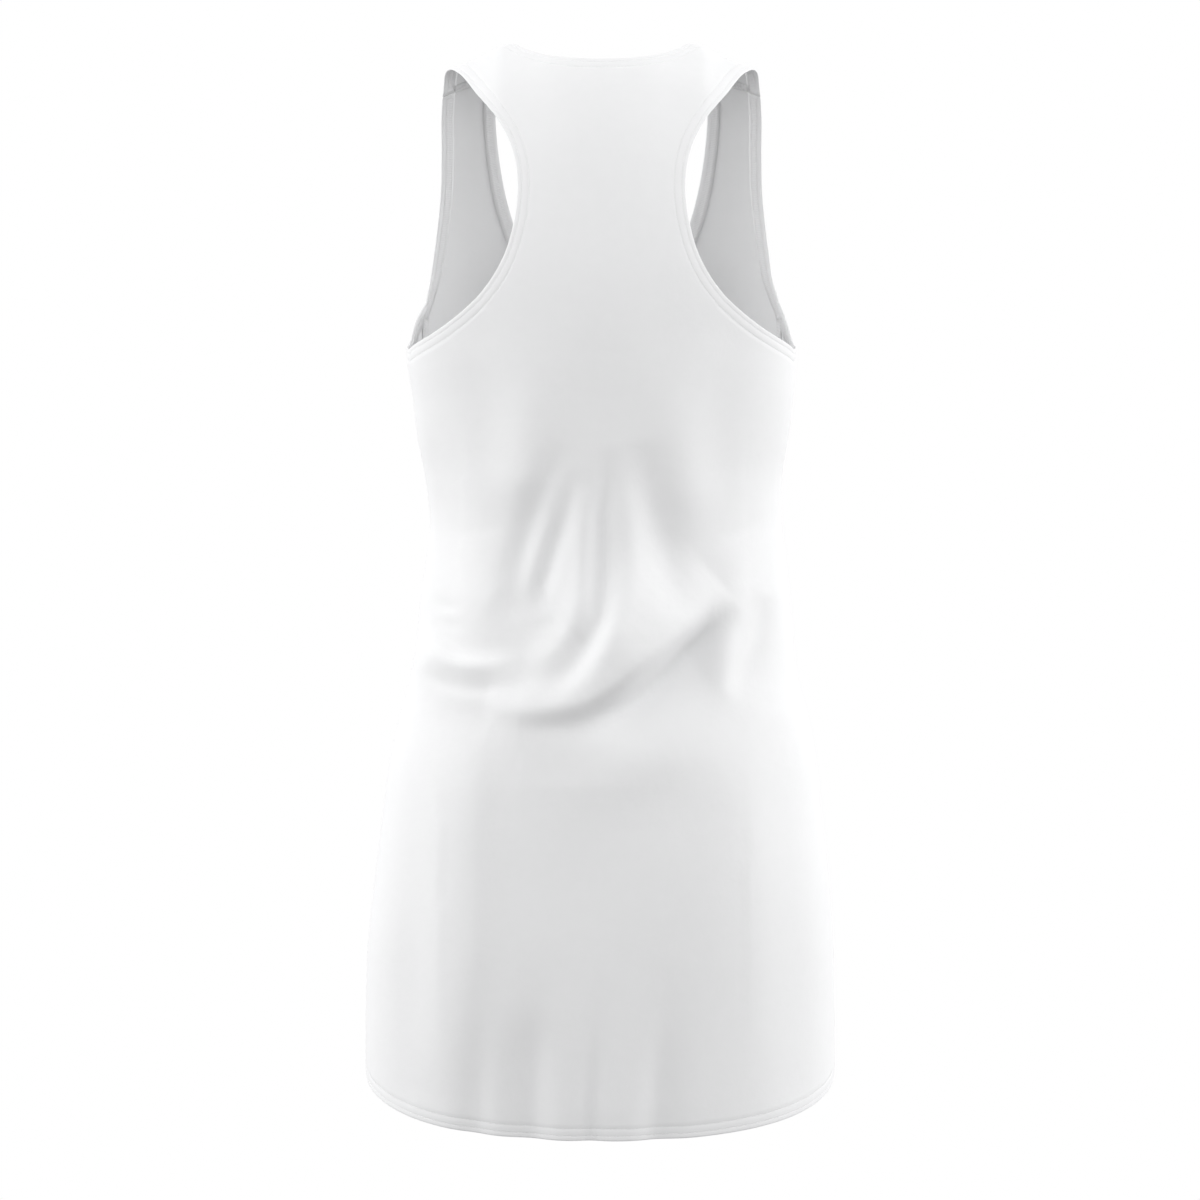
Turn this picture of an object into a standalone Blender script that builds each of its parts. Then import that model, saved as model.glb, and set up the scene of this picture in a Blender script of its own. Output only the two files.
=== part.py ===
"""Racerback dress: a sleeveless knit dress of two panels, standing out as when worn.

The front panel has a deep scoop neck and two straps. The back panel narrows to a racerback
between the shoulder blades. They are joined at the sides and at the shoulders, and the neck,
armholes and hem are finished with a turned hem.

Millimetres are used in the tables and turned to metres when the meshes are made.
+X is the wearer's left, -Y the front, +Z up. The origin lies between the tops of the two
shoulder straps, where the wearer's shoulders hold the dress.
"""

from collections import namedtuple

import bmesh
import bpy
import numpy as np

MM = 0.001

# Cloth and making
CLOTH = 1.4             # wall of each panel
TURNED_CLOTH = 1.0      # wall of a turned hem or a seam allowance
SEAM_GAP = 0.3          # between pieces that are sewn together
HEM_WIDTH = 9.5         # turned hem at neck, armholes and bottom
HEM_AT_SIDE = 13.0      # armhole hem measured down the side seam, which it meets at a slant
HEM_AT_SHOULDER = 9.8   # neck and armhole hems measured along the shoulder seam
ALLOWANCE = 7.0         # overlocked seam allowance at the sides
CORNER_REACH = 40.0     # how far from its seam a turned hem follows the seam's direction
SEAM_AT_UNDERARM = np.radians(114.6)   # angle of the side seams from centre back, at the top
SEAM_AT_HEM = np.radians(99.0)         # and at the hem
SHOULDER_SEAM_DROP = 16.0      # the shoulder seams lie this far down the front of the shoulder
HEM_CENTRE = -842.6     # height of the hem at centre back and centre front
HEM_SIDE = -799.0       # height of the hem at the side seams
HEM_SHAPE = 2.2         # how late the hem curves up towards the side seams

# Sizes of the filled-out dress at each drop below the shoulder line: half widths to the left
# and right of the centre, and how far the centre back and centre front stand out.
Section = namedtuple("Section", "drop left right back front")
SECTIONS = [
    Section(0, 152, 152, 0, 0),
    Section(4, 153, 153, 19, 18),
    Section(16, 155, 155, 38, 34),
    Section(36, 158, 158, 57, 49),
    Section(64, 160, 160, 72, 61),
    Section(100, 160, 160, 84, 76),
    Section(150, 157, 158, 93, 94),
    Section(200, 153, 155, 97, 110),
    Section(246, 152, 152, 95, 118),
    Section(277, 147.5, 149.8, 91, 117),
    Section(308, 143.5, 145.8, 87, 112),
    Section(340, 137.5, 141, 83, 106),
    Section(371, 134.3, 140.8, 80, 101),
    Section(402, 137, 143.5, 79, 98),
    Section(433, 141.5, 147, 82, 98),
    Section(465, 144.5, 149.8, 87, 100),
    Section(496, 150, 153, 93, 103),
    Section(527, 158.2, 161.3, 101, 106),
    Section(559, 165.5, 167, 109, 108),
    Section(600, 171, 171.8, 115, 110),
    Section(650, 177, 177.5, 118, 111),
    Section(700, 182.3, 181, 118, 112),
    Section(760, 184.2, 182, 116, 112),
    Section(850, 183.5, 182, 113, 111),
]
ROUNDNESS = 0.88        # 1 is an ellipse in plan, less is squarer

# Height of the shoulder line at each distance from the centre
Ridge = namedtuple("Ridge", "out height")
SHOULDER_LINE = [
    Ridge(0, 15), Ridge(35, 10), Ridge(60, 3), Ridge(70, 1), Ridge(79, -1), Ridge(88, -6),
    Ridge(97, -10.5), Ridge(109, -15), Ridge(121, -19.5), Ridge(132, -25), Ridge(170, -50),
]
RIDGE_FADE = (50, 240)  # the shoulder line's slope dies out between these drops

# Edges, as distances out from the centre and heights, on the panel's own face of the dress,
# round its side or over its shoulders
Edge = namedtuple("Edge", "out height where")
HERE, ROUND, OVER = "here", "round", "over"
BACK_UNDERARM = [
    Edge(139, -197, ROUND), Edge(147.3, -214, ROUND), Edge(150.8, -229, ROUND),
    Edge(151.9, -237.5, HERE), Edge(150.3, -239.3, HERE), Edge(146.6, -236.8, HERE),
    Edge(137, -232, HERE), Edge(126, -226, HERE), Edge(115.4, -219, HERE),
    Edge(105.4, -211.5, HERE), Edge(95.5, -203, HERE),
]
RACERBACK = [
    Edge(95.5, -203, HERE), Edge(85.3, -190.6, HERE), Edge(75.7, -174, HERE),
    Edge(67.8, -149.6, HERE), Edge(64.6, -128, HERE), Edge(65, -105.3, HERE),
    Edge(69.5, -86, HERE), Edge(79.4, -66, HERE), Edge(98.5, -41, HERE), Edge(114, -22, HERE),
]
BACK_ARMHOLE_TOP = [Edge(114, -22, HERE), Edge(121, -19.5, HERE), Edge(125.6, -38, OVER)]
BACK_NECK = [
    Edge(0, -17.4, HERE), Edge(23, -16.3, HERE), Edge(35, -14.5, HERE),
    Edge(49, -10.5, HERE), Edge(60, -5.6, HERE), Edge(68.5, 0, HERE),
]
BACK_NECK_TOP = [Edge(68.5, 0, HERE), Edge(72, 0.6, HERE), Edge(83.5, -20, OVER)]
FRONT_ARMHOLE = [
    Edge(139, -197, HERE), Edge(136.4, -180, HERE), Edge(133.2, -157, HERE),
    Edge(130.5, -136, HERE), Edge(128, -112, HERE), Edge(127, -85, HERE),
    Edge(126.8, -55, HERE), Edge(125.6, -38, HERE),
]
# The scoop neck is half an ellipse below the straps
SCOOP_HALF_WIDTH = 88.0
SCOOP_TOP = -40.0
SCOOP_DEPTH = 168.0
SCOOP_CORNER = np.radians(60.0)  # where the neckline turns from its bottom to its sides
SCOOP_STRAP = [Edge(87, -27, HERE), Edge(83.5, -20, HERE)]

# Folds pressed into the cloth: a path in distance to the wearer's left and height, how far it
# stands out (in, if negative), and how wide it is on the left and right of its direction.
Fold = namedtuple("Fold", "face path out left right")
BACK, FRONT = 1, -1
FOLDS = [
    # the loose cloth over the small of the back, which hangs over the seat as a ledge
    Fold(BACK, [(-94, -434), (-66, -468), (-22, -500), (18, -511), (57, -517), (87, -514)], 10, 38, 13),
    Fold(BACK, [(132, -470), (122, -484), (103, -492), (79, -490)], 6, 12, 26),
    Fold(BACK, [(-122, -372), (-112, -420), (-98, -462), (-84, -492)], 5, 12, 22),
    # the valleys and rolls that gather into it
    Fold(BACK, [(44, -329), (56, -355), (66, -380), (75, -405), (66, -421), (48, -421)], -4, 11, 11),
    Fold(BACK, [(29, -364), (39, -389), (48, -417)], -3, 10, 10),
    Fold(BACK, [(56, -450), (70, -462)], -5, 20, 20),
    Fold(BACK, [(-6, -330), (0, -390), (10, -452), (37, -490)], -4, 9, 9),
    Fold(BACK, [(-37, -335), (-45, -370), (-56, -401), (-57, -425)], -5, 16, 16),
    Fold(BACK, [(10, -355), (16, -394), (18, -432), (27, -461)], 3, 10, 10),
    Fold(BACK, [(-17, -364), (-21, -403), (-12, -452), (8, -482)], 4, 15, 15),
    # the hollow of the skirt under the ledge, and the edges of its flat middle
    Fold(BACK, [(88, -536), (60, -546), (0, -550), (-60, -528)], -4, 18, 18),
    Fold(BACK, [(103, -560), (104, -660), (106, -770)], 5, 40, 22),
    Fold(BACK, [(-112, -560), (-114, -660), (-112, -770)], 4, 30, 40),
    # flutes at the back hem
    Fold(BACK, [(51, -750), (54, -800), (54, -850)], -8, 15, 15),
    Fold(BACK, [(2, -760), (5, -800), (8, -850)], -5, 10, 10),
    Fold(BACK, [(-47, -765), (-46, -800), (-42, -850)], -7, 12, 12),
    Fold(BACK, [(92, -745), (91, -800), (96, -850)], -4, 12, 12),
    # the bust, and the soft drapes of the front below it
    Fold(FRONT, [(74, -228), (74, -256)], 11, 40, 40),
    Fold(FRONT, [(-74, -228), (-74, -256)], 11, 40, 40),
    Fold(FRONT, [(92, -300), (70, -360), (34, -415)], -5, 16, 16),
    Fold(FRONT, [(-96, -310), (-66, -372), (-30, -430)], -5, 16, 16),
    Fold(FRONT, [(112, -400), (70, -432), (10, -448)], 5, 18, 14),
    Fold(FRONT, [(-114, -390), (-78, -425), (-24, -452)], 4, 14, 18),
    Fold(FRONT, [(6, -300), (2, -360), (6, -420)], -4, 16, 16),
    Fold(FRONT, [(98, -560), (102, -660), (104, -790)], 4, 34, 34),
    Fold(FRONT, [(-98, -560), (-102, -660), (-106, -790)], 4, 34, 34),
    Fold(FRONT, [(46, -735), (50, -790), (53, -850)], -7, 15, 15),
    Fold(FRONT, [(-8, -750), (-5, -800), (-4, -850)], -6, 14, 14),
    Fold(FRONT, [(-58, -730), (-62, -790), (-66, -850)], -7, 15, 15),
]
FOLD_FADE = (0.12, 0.42)   # folds die out towards the side seams, over these cosines

# Cells: across half of the racerback, of which each strap takes some, and so on
RACER_HALF = 9
STRAP = 5
BACK_UNDERARM_CELLS = 11
STEM_ROWS, YOKE_ROWS, NECK_ROWS, OVER_ROWS = 6, 4, 3, 4
SCOOP_HALF = 3
FRONT_SIDE = 1
FRONT_STRAP_ROWS = 13
# Rows of the body from the hem up: how many there are up to each share of its height
Rows = namedtuple("Rows", "share count")
BODY_ROWS = [Rows(0, 0), Rows(0.16, 5), Rows(0.44, 10), Rows(0.88, 33), Rows(1, 36)]

WHITE_KNIT = {"name": "white_knit", "colour": (0.86, 0.86, 0.865), "roughness": 0.82}
WHITE_TURNED = {"name": "white_turned_hem", "colour": (0.80, 0.80, 0.81), "roughness": 0.86}


# ---------------------------------------------------------------- curves through tables

def smooth(knots, values, at):
    """A smooth curve through a table, read at the given places."""
    knots, values, at = (np.asarray(a, float) for a in (knots, values, at))
    slopes = np.gradient(values, knots)
    i = np.clip(np.searchsorted(knots, at) - 1, 0, len(knots) - 2)
    width = knots[i + 1] - knots[i]
    t = np.clip((at - knots[i]) / width, 0, 1)
    return (
        values[i] * (1 + 2 * t) * (1 - t) ** 2
        + slopes[i] * width * t * (1 - t) ** 2
        + values[i + 1] * t * t * (3 - 2 * t)
        + slopes[i + 1] * width * t * t * (t - 1)
    )


def fade(at, low, high):
    """0 below low, 1 above high, and smooth between."""
    t = np.clip((at - low) / (high - low), 0, 1)
    return t * t * (3 - 2 * t)


def evenly(points, count, first=None):
    """A smooth path through the points as count + 1 points, one step of its own if given first.

    Points are places on the cloth, or mm if the path is flat.
    """
    points = np.asarray(points, float)
    along = np.r_[0, np.cumsum(np.linalg.norm(np.diff(points * PLACE_SIZE, axis=0), axis=1))]
    fine = np.linspace(0, along[-1], 40 * len(points))
    path = np.stack([smooth(along, column, fine) for column in points.T], axis=1)
    length = np.r_[0, np.cumsum(np.linalg.norm(np.diff(path * PLACE_SIZE, axis=0), axis=1))]
    steps = np.linspace(0, length[-1], count + 1)
    if first:
        steps = np.r_[0, np.linspace(first, length[-1], count)]
    return np.stack([np.interp(steps, length, column) for column in path.T], axis=1)


# ---------------------------------------------------------------- the form of the dress
#
# A place on the dress is an angle round it and a root of the drop below the shoulder line.
# The angle is 0 at the panel's own centre, positive to the wearer's left. The root is
# negative where a strap has passed over the shoulder line to the other face.

SECTION_ROOTS = np.sqrt([s.drop for s in SECTIONS])
PLACE_SIZE = np.array([140.0, 26.0])   # about how many mm a unit of angle and of root is


def across(name, root):
    return smooth(SECTION_ROOTS, [getattr(s, name) for s in SECTIONS], np.abs(root))


def half_width(angle, root):
    return np.where(angle >= 0, across("left", root), across("right", root))


def shoulder_height(x, root):
    rise = smooth([r.out for r in SHOULDER_LINE], [r.height for r in SHOULDER_LINE], np.abs(x))
    return rise * (1 - fade(root**2, *RIDGE_FADE))


def fold_relief(x, z, face):
    """How far the folds move the cloth outwards."""
    total = np.zeros_like(x)
    for fold in FOLDS:
        path = evenly(np.array(fold.path) / PLACE_SIZE, 24) * PLACE_SIZE
        ends = (face == fold.face)
        gap = np.full(x.shape, np.inf)
        side = np.zeros(x.shape)
        for (x0, z0), (x1, z1) in zip(path[:-1], path[1:]):
            dx, dz = x1 - x0, z1 - z0
            t = np.clip(((x - x0) * dx + (z - z0) * dz) / (dx * dx + dz * dz), 0, 1)
            away_x, away_z = x - x0 - t * dx, z - z0 - t * dz
            distance = np.hypot(away_x, away_z)
            nearer = distance < gap
            gap = np.where(nearer, distance, gap)
            side = np.where(nearer, dx * away_z - dz * away_x, side)
        width = np.where(side > 0, fold.left, fold.right)
        total += np.where(ends, fold.out * np.exp(-((gap / width) ** 2)), 0)
    return total


def cloth_point(face, angle, root):
    """Points of the outer face of the cloth, in mm, for a panel's own angles and roots."""
    angle, root = np.broadcast_arrays(np.asarray(angle, float), np.asarray(root, float))
    own, other = ("back", "front") if face == BACK else ("front", "back")
    a = half_width(angle, root)
    on_own = (root >= 0) & (np.abs(angle) <= np.pi / 2)
    depth = np.where(on_own, across(own, root), -across(other, root))
    cosine = np.abs(np.cos(angle))
    x = a * np.sin(angle)
    y = face * depth * cosine**ROUNDNESS
    z = shoulder_height(x, root) - root**2
    out = fold_relief(x, z, np.where(on_own, face, -face)) * fade(cosine, *FOLD_FADE)
    lean = np.hypot(x / a**2, y / np.maximum(np.abs(depth), 20) ** 2) + 1e-9
    x = x + out * x / a**2 / lean
    y = y + out * y / np.maximum(np.abs(depth), 20) ** 2 / lean
    return np.stack([x, y, z], axis=-1)


def place(edges, sign):
    """Edge rows as places (angle, root) on a panel, on the wearer's left for sign +1."""
    places = []
    for edge in edges:
        root = np.sqrt(max(-edge.height, 0.01))
        for _ in range(30):
            root = np.sqrt(max(float(shoulder_height(edge.out, root)) - edge.height, 0.0))
        turn = np.arcsin(min(edge.out / float(half_width(sign, root)), 1))
        angle = np.pi - turn if edge.where == ROUND else turn
        places.append((sign * angle, -root if edge.where == OVER else root))
    return np.array(places)


def step_of(face, places):
    """How far a point moves for a small change of angle, and of root."""
    h = 1e-4
    angle, root = places[..., 0], places[..., 1]
    by_angle = (cloth_point(face, angle + h, root) - cloth_point(face, angle - h, root)) / (2 * h)
    by_root = (cloth_point(face, angle, root + h) - cloth_point(face, angle, root - h)) / (2 * h)
    return by_angle, by_root


Seam = namedtuple("Seam", "name hem")
SIDE, SHOULDER = Seam("side", HEM_AT_SIDE), Seam("shoulder", HEM_AT_SHOULDER)


def unit(vectors):
    return vectors / np.linalg.norm(vectors, axis=-1)[..., None]


def moved_in(face, edge, towards, first, last):
    """The edge moved across the cloth by the width of a hem, to the side of the place towards.

    first and last are the seams at the ends, whose direction the edge's last points follow.
    """
    points = cloth_point(face, edge[:, 0], edge[:, 1])
    by_angle, by_root = step_of(face, edge)
    across_edge = unit(np.cross(np.cross(by_angle, by_root), np.gradient(points, axis=0)))
    middle = len(edge) // 2
    across_edge *= np.sign(across_edge[middle] @ (cloth_point(face, *towards) - points[middle]))
    along = np.r_[0, np.cumsum(np.linalg.norm(np.diff(points, axis=0), axis=1))]
    inward = across_edge
    length = np.full((len(edge), 1), HEM_WIDTH)
    for seam, distance in ((first, along), (last, along[-1] - along)):
        line = unit(by_root if seam is SIDE else by_angle)
        line = line * np.sign(np.sum(line * across_edge, axis=1))[:, None]
        share = np.clip(1 - distance / CORNER_REACH, 0, 1)[:, None]
        inward = unit(inward + share * (line - inward))
        length += share**2 * (seam.hem - HEM_WIDTH)
    moved = edge.copy()
    for i, move in enumerate(inward * length):
        jacobian = np.stack([by_angle[i], by_root[i]], axis=1)
        moved[i] += np.linalg.lstsq(jacobian, move, rcond=None)[0]
    return moved


# ---------------------------------------------------------------- patches of cells

def ruled(bottom, top, levels):
    """Rows of places between two edges, straight in angle and drop."""
    def flat(places):
        return np.stack([places[:, 0], places[:, 1] * np.abs(places[:, 1])], axis=1)

    low, high = flat(bottom), flat(top)
    rows = low + (high - low) * np.asarray(levels)[:, None, None]
    rows[..., 1] = np.sign(rows[..., 1]) * np.sqrt(np.abs(rows[..., 1]))
    return rows


def patch(bottom, top, left, right):
    """Rows of places inside four edges that share their corners (a Coons patch)."""
    u = np.linspace(0, 1, len(bottom))[None, :, None]
    v = np.linspace(0, 1, len(left))[:, None, None]
    corners = (
        (1 - u) * (1 - v) * bottom[0] + u * (1 - v) * bottom[-1] + (1 - u) * v * top[0] + u * v * top[-1]
    )
    return (1 - v) * bottom + v * top + (1 - u) * left[:, None] + u * right[:, None] - corners


class Panel:
    """One cut piece of cloth: an open surface of cells, some of them marked as turned in."""

    def __init__(self, face):
        self.face = face
        self.mesh = bmesh.new()
        self.mark = self.mesh.faces.layers.string.new("mark")
        self.outward = self.mesh.verts.layers.float_vector.new("outward")

    def add(self, rows, mark=""):
        """Adds a block of cells between rows of places, and gives back its cells, row by row."""
        points = cloth_point(self.face, rows[..., 0], rows[..., 1]) * MM
        by_angle, by_root = step_of(self.face, rows)
        outward = np.cross(by_angle, by_root) * self.face
        outward /= np.linalg.norm(outward, axis=-1)[..., None]
        verts = [[self.mesh.verts.new(p) for p in row] for row in points]
        for row, normals in zip(verts, outward):
            for vert, normal in zip(row, normals):
                vert[self.outward] = normal
        cells = []
        for low, high in zip(verts[:-1], verts[1:]):
            corners = zip(low[:-1], low[1:], high[1:], high[:-1])
            cells.append([self.mesh.faces.new(corner) for corner in corners])
            for cell in cells[-1]:
                cell[self.mark] = mark.encode()
        return cells

    def finish(self):
        """Joins the blocks, cuts the cells into triangles and turns the outer face out."""
        bmesh.ops.remove_doubles(self.mesh, verts=self.mesh.verts, dist=0.01 * MM)
        bmesh.ops.recalc_face_normals(self.mesh, faces=self.mesh.faces)
        middle = max(self.mesh.faces, key=lambda f: f.calc_center_median().y * self.face)
        if middle.normal.y * self.face < 0:
            bmesh.ops.reverse_faces(self.mesh, faces=self.mesh.faces)
        bmesh.ops.triangulate(self.mesh, faces=self.mesh.faces)
        self.mesh.normal_update()


def joined(*parts):
    """Edges end to end, with each shared point kept once."""
    return np.concatenate([parts[0]] + [p[1:] for p in parts[1:]])


def levels(table):
    """The share of the height that each row has reached."""
    counts = [r.count for r in table]
    return np.interp(np.arange(counts[-1] + 1), counts, [r.share for r in table])


def side_names(name):
    return {1: name + "_left", -1: name + "_right"}


def skirt(panel, top, seam_at_hem, name):
    """The body of a panel, from its bottom hem up to the top row."""
    angles = top[:, 0] * seam_at_hem / abs(top[0, 0])
    share = 1 - np.abs(np.abs(angles) / (np.pi / 2) - 1)
    drops = -(HEM_CENTRE + (HEM_SIDE - HEM_CENTRE) * share**HEM_SHAPE)
    edge = np.stack([angles, np.sqrt(drops)], axis=1)
    inner = np.stack([angles, np.sqrt(drops - HEM_WIDTH)], axis=1)
    panel.add(np.stack([edge, inner]), "bottom_hem_" + name)
    return panel.add(ruled(inner, top, levels(BODY_ROWS)))


def back_panel():
    panel = Panel(BACK)
    seam_root = SEAM_GAP / 2 / 8 - np.sqrt(SHOULDER_SEAM_DROP)
    armholes, necks = {}, {}
    names = side_names("armhole_hem_back")
    for sign in (1, -1):
        underarm = place(BACK_UNDERARM, sign)
        underarm[0, 0] = sign * (SEAM_AT_UNDERARM - SEAM_GAP / 2 / 110)
        over = place(BACK_ARMHOLE_TOP, sign)
        over[-1, 1] = seam_root
        edge = joined(
            evenly(underarm, BACK_UNDERARM_CELLS, first=ALLOWANCE),
            evenly(place(RACERBACK, sign), STEM_ROWS + YOKE_ROWS + NECK_ROWS),
            evenly(over, OVER_ROWS),
        )
        armholes[sign] = moved_in(BACK, edge, (0, np.sqrt(200)), SIDE, SHOULDER)
        panel.add(np.stack([edge, armholes[sign]]), names[sign])
        neck_over = place(BACK_NECK_TOP, sign)
        neck_over[-1, 1] = seam_root
        neck = evenly(place(BACK_NECK, sign), RACER_HALF - STRAP + NECK_ROWS)
        necks[sign] = joined(neck, evenly(neck_over, OVER_ROWS))
    neck = joined(necks[-1][::-1], necks[1])
    neck_inner = moved_in(BACK, neck, (0, np.sqrt(120)), SHOULDER, SHOULDER)
    panel.add(np.stack([neck, neck_inner]), "neck_hem_back")

    # the body, with a column by each side seam that its allowance is pressed against
    low, high = BACK_UNDERARM_CELLS, BACK_UNDERARM_CELLS + STEM_ROWS
    top = high + YOKE_ROWS
    left, right = armholes[1], armholes[-1]
    stem = np.linspace(right[low], left[low], 2 * RACER_HALF + 1)
    body_top = joined(right[:low + 1], stem, left[low::-1])
    cells = skirt(panel, body_top, SEAM_AT_HEM - SEAM_GAP / 2 / 120, "back")
    for row in cells[1:-1]:
        row[0][panel.mark] = b"side_seam_right"
        row[-1][panel.mark] = b"side_seam_left"

    # the racerback, and above it the part below the neck with a strap on each side
    yoke = np.linspace(right[high], left[high], 2 * RACER_HALF + 1)
    panel.add(patch(stem, yoke, right[low:high + 1], left[low:high + 1]))
    strap_rows = NECK_ROWS + OVER_ROWS
    neck_right, neck_left = neck_inner[strap_rows::-1], neck_inner[-1 - strap_rows:]
    split_right = np.linspace(yoke[STRAP], neck_right[0], YOKE_ROWS + 1)
    split_left = np.linspace(yoke[-1 - STRAP], neck_left[0], YOKE_ROWS + 1)
    below_neck = neck_inner[strap_rows:-strap_rows]
    panel.add(patch(yoke[STRAP:-STRAP], below_neck, split_right, split_left))
    for edge, split, neck_edge, base in (
        (right, split_right, neck_right, yoke[:STRAP + 1]),
        (left, split_left, neck_left, yoke[:-2 - STRAP:-1]),
    ):
        start = np.linspace(edge[top], neck_edge[0], STRAP + 1)
        panel.add(patch(base, start, edge[high:top + 1], split))
        seam = np.linspace(edge[-1], neck_edge[-1], STRAP + 1)
        panel.add(patch(start, seam, edge[top:], neck_edge))
    panel.finish()
    return panel


def scoop(first_turn, last_turn, count):
    """Edge rows along the bottom of the front neckline, or up its side."""
    turns = np.linspace(first_turn, last_turn, count)
    return [
        Edge(SCOOP_HALF_WIDTH * np.cos(t), SCOOP_TOP - SCOOP_DEPTH * np.sin(t), HERE) for t in turns
    ]


def front_panel():
    panel = Panel(FRONT)
    seam_root = SEAM_GAP / 2 / 8 + np.sqrt(SHOULDER_SEAM_DROP)
    armholes, necks = {}, {}
    names = side_names("armhole_hem_front")
    for sign in (1, -1):
        rows = place(FRONT_ARMHOLE, sign)
        rows[0, 0] = sign * (np.pi - SEAM_AT_UNDERARM - SEAM_GAP / 2 / 110)
        rows[-1, 1] = seam_root
        edge = evenly(rows, FRONT_SIDE + FRONT_STRAP_ROWS)
        armholes[sign] = moved_in(FRONT, edge, (0, np.sqrt(300)), SIDE, SHOULDER)
        panel.add(np.stack([edge, armholes[sign]]), names[sign])
        side = place(scoop(SCOOP_CORNER, 0, 9) + SCOOP_STRAP, sign)
        side[-1, 1] = seam_root
        bottom = evenly(place(scoop(np.pi / 2, SCOOP_CORNER, 4), sign), SCOOP_HALF)
        necks[sign] = joined(bottom, evenly(side, FRONT_STRAP_ROWS))
    neck = joined(necks[-1][::-1], necks[1])
    neck_inner = moved_in(FRONT, neck, (0, np.sqrt(300)), SHOULDER, SHOULDER)
    panel.add(np.stack([neck, neck_inner]), "neck_hem_front")

    left, right = armholes[1], armholes[-1]
    neck_right = neck_inner[FRONT_STRAP_ROWS::-1]
    neck_left = neck_inner[-1 - FRONT_STRAP_ROWS:]
    base_right = np.linspace(right[FRONT_SIDE], neck_right[0], STRAP + 1)
    base_left = np.linspace(left[FRONT_SIDE], neck_left[0], STRAP + 1)
    bottom = neck_inner[FRONT_STRAP_ROWS:-FRONT_STRAP_ROWS]
    top = joined(
        right[:FRONT_SIDE + 1], base_right, bottom, base_left[::-1], left[FRONT_SIDE::-1]
    )
    skirt(panel, top, np.pi - SEAM_AT_HEM - SEAM_GAP / 2 / 120, "front")
    for edge, base, neck_edge in ((right, base_right, neck_right), (left, base_left, neck_left)):
        seam = np.linspace(edge[-1], neck_edge[-1], STRAP + 1)
        panel.add(patch(base, seam, edge[FRONT_SIDE:], neck_edge))
    panel.finish()
    return panel


# ---------------------------------------------------------------- solids

def material(spec):
    made = bpy.data.materials.new(spec["name"])
    made.use_nodes = True
    shader = made.node_tree.nodes["Principled BSDF"]
    shader.inputs["Base Color"].default_value = (*spec["colour"], 1)
    shader.inputs["Roughness"].default_value = spec["roughness"]
    shader.inputs["Metallic"].default_value = 0
    made.diffuse_color = (*spec["colour"], 1)
    return made


def moved(verts, outward, distance):
    for vert in verts:
        vert.co -= vert[outward] * distance * MM


def cloth_object(name, surface, wall, finish, collection):
    """An open surface given its wall on the inside."""
    sheet = surface.copy()
    outward = sheet.verts.layers.float_vector["outward"]
    inside = bmesh.ops.extrude_face_region(sheet, geom=sheet.faces[:], use_keep_orig=True)["geom"]
    moved([v for v in inside if isinstance(v, bmesh.types.BMVert)], outward, wall)
    bmesh.ops.recalc_face_normals(sheet, faces=sheet.faces)
    mesh = bpy.data.meshes.new(name)
    sheet.to_mesh(mesh)
    sheet.free()
    mesh.materials.append(finish)
    mesh.shade_smooth()
    collection.objects.link(bpy.data.objects.new(name, mesh))


def turned_hems(panel, finish, collection):
    """Each turned hem and seam allowance: the panel's own cells, moved in and given a wall."""
    names = sorted({f[panel.mark].decode() for f in panel.mesh.faces} - {""})
    for name in names:
        strip = panel.mesh.copy()
        mark = strip.faces.layers.string["mark"]
        moved(strip.verts, strip.verts.layers.float_vector["outward"], CLOTH + SEAM_GAP)
        others = [f for f in strip.faces if f[mark].decode() != name]
        bmesh.ops.delete(strip, geom=others, context="FACES")
        cloth_object(name, strip, TURNED_CLOTH, finish, collection)
        strip.free()


def main():
    for old in list(bpy.data.objects):
        bpy.data.objects.remove(old)
    collection = bpy.data.collections.new("racerback_dress")
    bpy.context.scene.collection.children.link(collection)
    knit, turned = material(WHITE_KNIT), material(WHITE_TURNED)
    for name, panel in (("back_panel", back_panel()), ("front_panel", front_panel())):
        cloth_object(name, panel.mesh, CLOTH, knit, collection)
        turned_hems(panel, turned, collection)
        panel.mesh.free()


main()
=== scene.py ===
"""Racerback dress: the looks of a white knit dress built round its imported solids.

The sections follow the dress as it is sewn: the two panels, the seams that join them, the
threads of the hems and seams, and then the studio it is seen in. Millimetres are used in the
tables and turned to metres when the meshes are made. +X is the wearer's left, -Y the front.
"""

from collections import namedtuple
from functools import partial

import bmesh
import bpy
import numpy as np
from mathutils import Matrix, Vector


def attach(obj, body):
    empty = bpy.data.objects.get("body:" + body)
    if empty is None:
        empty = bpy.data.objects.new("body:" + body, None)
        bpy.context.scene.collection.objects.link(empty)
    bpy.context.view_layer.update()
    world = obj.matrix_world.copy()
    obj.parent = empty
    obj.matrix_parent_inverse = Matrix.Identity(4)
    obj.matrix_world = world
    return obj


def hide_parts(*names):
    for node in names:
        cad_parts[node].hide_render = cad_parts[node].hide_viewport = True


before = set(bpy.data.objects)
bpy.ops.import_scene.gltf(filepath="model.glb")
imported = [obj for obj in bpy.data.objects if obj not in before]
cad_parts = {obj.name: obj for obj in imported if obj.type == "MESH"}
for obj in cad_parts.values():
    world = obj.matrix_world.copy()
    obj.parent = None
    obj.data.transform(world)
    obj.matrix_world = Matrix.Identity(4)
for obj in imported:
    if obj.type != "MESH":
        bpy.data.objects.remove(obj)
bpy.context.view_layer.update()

# ============ back panel
#
# The back is one piece of white polyester and elastane jersey, cut to a racerback between the
# shoulder blades. Its edges are turned in once and stitched, and the loose length of the back
# gathers in folds over the seat.

MM = 0.001

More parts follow.
